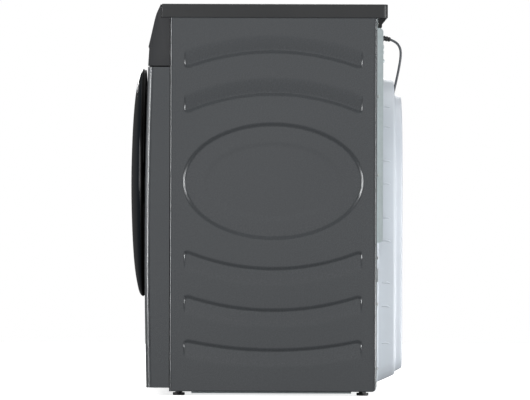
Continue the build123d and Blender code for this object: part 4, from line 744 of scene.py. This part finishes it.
def add_rear_cover():
    """The moulded cover over the belt: a flange, a sloping wall, a shelf and a raised field, 2 mm thick."""
    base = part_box("rear_cover")[0][1] / MM
    outer = [arch_ring(r, low, corner, base + rise) for r, low, corner, rise in OUTER_STATIONS]
    skin = COVER_SKIN
    inner = [arch_ring(r - skin, low + skin, corner - skin, base + max(rise - skin, 0.0))
             for r, low, corner, rise in reversed(OUTER_STATIONS[5:])]
    mesh = skin_rings("rear_cover_skin", inner + outer)
    add_piece("rear_cover_skin", mesh, "cover_plastic", "cabinet", "cover_plastic", "rear_cover")
    mesh.set_sharp_from_angle(angle=math.radians(50))


def wall_place(side, height, rise):
    """A place on the cover's wall at a height and a rise from the panel, in millimetres, and the way out."""
    radius = WALL_RADIUS - WALL_TAPER * rise
    lift = math.asin(min(max((height - ARCH_CENTRE) / radius, 0.0), 1.0))
    out = (side * math.cos(lift), math.sin(lift))
    drop = min(height - ARCH_CENTRE, 0.0)
    return (radius * out[0], ARCH_CENTRE + drop + radius * out[1]), out


# how far a small rib's section stands proud, and its place along the wall
RIB_SECTION = [(-0.6, -2.2), (0.9, -1.5), (1.5, 0.0), (0.9, 1.5), (-0.6, 2.2)]
RIB_RISE = (12, 30)          # where a small rib starts and ends
RIB_STEPS = 10


def add_cover_ribs():
    """Small bowed ribs across both walls of the rear cover."""
    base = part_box("rear_cover")[0][1] / MM
    places = [(height, side) for height in RIB_MARKS for side in (1, -1)]
    for number, (height, side) in enumerate(places, 1):
        rings = []
        for step in range(RIB_STEPS + 1):
            way = step / RIB_STEPS
            rise = RIB_RISE[0] + (RIB_RISE[1] - RIB_RISE[0]) * way
            (x, z), out = wall_place(side, height, rise)
            swell = math.sqrt(math.sin(math.pi * (0.04 + 0.92 * way)))
            bow = 1.6 * math.sin(math.pi * way) - 1.0 * way
            ring = []
            for proud, along in RIB_SECTION:
                lift = proud if proud < 0 else proud * swell
                slide = along * swell + bow
                ring.append(((x + out[0] * lift - side * out[1] * slide) * MM, (base + rise) * MM,
                             (z + out[1] * lift + abs(out[0]) * slide) * MM))
            rings.append(ring)
        mesh = skin_rings("rear_cover_rib", rings)
        add_piece("rear_cover_rib_%d" % number, mesh, "cover_plastic", "cabinet", "cover_plastic")


add_rear_cover()
add_cover_ribs()


# ---------------------------------------------------------------- rear fittings
# how far out from the panel and up from the worktop's underside
BRACKET_OUTLINE = [(0, -20.5), (8.4, -20.5), (9.4, -19), (9.4, -13), (12.2, -10), (12.2, -7),
                   (16, -3.4), (16, 0), (0, 0)]
BRACKET_SPAN = (225, 275)
PAD_BUTTONS = [(758, 2.2, 5.5), (747, 1.8, 5.0), (728, 3.4, 4.5)]    # height, how proud and radius
BUTTON_DOME = [(0.0, 1.0), (0.35, 0.92), (0.75, 0.66), (1.0, 0.3)]   # shares of its height and radius
PAD_MIDDLE = 262


def add_worktop_brackets():
    """The two moulded brackets under the worktop's rear edge."""
    low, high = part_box("worktop_brackets")
    face, top = low[1], high[2]
    for number, side in enumerate((1, -1), 1):
        rings = [[(side * x * MM, face + out * MM, top + up * MM) for out, up in BRACKET_OUTLINE]
                 for x in BRACKET_SPAN]
        replaced = ["worktop_brackets"] if number == 1 else []
        mesh = skin_rings("worktop_bracket", rings)
        look = "black_plastic"
        add_piece("worktop_bracket_%d" % number, mesh, look, "cabinet", look, *replaced)
        mesh.set_sharp_from_angle(angle=math.radians(20))


def add_pad_buttons():
    """Pressed buttons on the raised strips of the rear panel."""
    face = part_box("rear_panel")[1][1]
    for number, (height, proud, radius) in enumerate(PAD_BUTTONS, 1):
        stations = [(share * proud * MM, width * radius * MM) for share, width in BUTTON_DOME]
        for side in (1, -1):
            place = (side * PAD_MIDDLE * MM, face - 0.2 * MM, height * MM)
            mesh = lathe("pad_button", place, (0, 1, 0), stations)
            name = "pad_button_%d_%d" % (number, (side + 3) // 2)
            add_piece(name, mesh, "galvanised", "cabinet", "galvanised")


add_worktop_brackets()
add_pad_buttons()


# ---------------------------------------------------------------- light and floor
FLOOR_HALF = 3.2


def add_area(name, place, aim, size, size_y, energy):
    """A soft rectangular light."""
    data = bpy.data.lights.new(name, "AREA")
    data.shape = "RECTANGLE"
    data.size = size
    data.size_y = size_y
    data.energy = energy
    light = bpy.data.objects.new(name, data)
    bpy.context.collection.objects.link(light)
    light.location = place
    light.rotation_euler = (Vector(aim) - Vector(place)).to_track_quat("-Z", "Y").to_euler()
    return light


def add_world(light, mirrored, seen):
    """An even surround: soft as a light, dim in reflections, white where it is seen behind the object."""
    world = bpy.data.worlds.new("studio")
    world.use_nodes = True
    tree = world.node_tree
    background = tree.nodes["Background"]
    background.inputs["Color"].default_value = (1, 1, 1, 1)
    path = tree.nodes.new("ShaderNodeLightPath")
    unseen = remap(tree, path.outputs["Is Glossy Ray"], light, mirrored, 0.0, 1.0)
    strength = remap(tree, path.outputs["Is Camera Ray"], light, seen, 0.0, 1.0)
    tree.links.new(unseen, strength.node.inputs["To Min"])
    tree.links.new(strength, background.inputs["Strength"])
    bpy.context.scene.world = world


def add_floor():
    """A plain pale floor, brighter far off, that isn't mirrored in the object and doesn't light it."""
    made, tree, shader, coords = new_material("floor")
    tree.links.new(two_tone(tree, noise(tree, coords, 1.5), (0.93, 0.93, 0.93), (0.95, 0.95, 0.95)),
                   shader.inputs["Base Color"])
    shader.inputs["Roughness"].default_value = 0.9
    shader.inputs["Specular IOR Level"].default_value = 0.1
    shader.inputs["Emission Color"].default_value = (1, 1, 1, 1)
    reach = tree.nodes.new("ShaderNodeVectorMath")
    reach.operation = "LENGTH"
    tree.links.new(coords, reach.inputs[0])
    glow = remap(tree, reach.outputs["Value"], 0.7, 1.0, 0.9, 2.2)
    tree.links.new(glow, shader.inputs["Emission Strength"])
    corners = [(x * FLOOR_HALF, y * FLOOR_HALF, 0) for x, y in ((-1, -1), (1, -1), (1, 1), (-1, 1))]
    mesh = mesh_from("floor", corners, [(0, 1, 2, 3)])
    mesh.materials.append(made)
    floor = bpy.data.objects.new("floor", mesh)
    bpy.context.collection.objects.link(floor)
    floor.visible_glossy = False
    floor.visible_diffuse = False


add_floor()
add_world(light=0.34, mirrored=0.06, seen=1.0)
key = add_area("key", (3.2, 0.0, 3.4), (0.3, 0.0, 0.5), 2.0, 2.4, 56.0)
key.visible_glossy = False
add_area("camera_fill", (13.5, 0.0, 1.1), (0.3, 0.0, 0.6), 3.0, 4.2, 44.0)
add_area("front_softbox", (1.3, -1.7, 0.60), (0.3, -0.1, 0.55), 0.26, 1.16, 32.0)
add_area("rear_softbox", (1.3, 1.7, 0.56), (0.3, 0.1, 0.52), 0.26, 1.06, 25.0)
add_area("front_fill", (0.6, -4.2, 1.2), (0.1, -0.26, 0.45), 2.4, 2.0, 40.0)
add_area("overhead", (-0.9, 0.0, 3.2), (-0.9, 0.0, 0.0), 2.2, 4.0, 72.0)
add_area("rear_low", (0.25, 1.25, 0.10), (0.15, 0.29, 0.12), 0.9, 0.16, 7.0)
add_area("far_side", (-7.0, 0.0, 2.4), (-0.3, 0.0, 0.5), 3.0, 3.0, 160.0)
bpy.context.scene.view_settings.view_transform = "Standard"
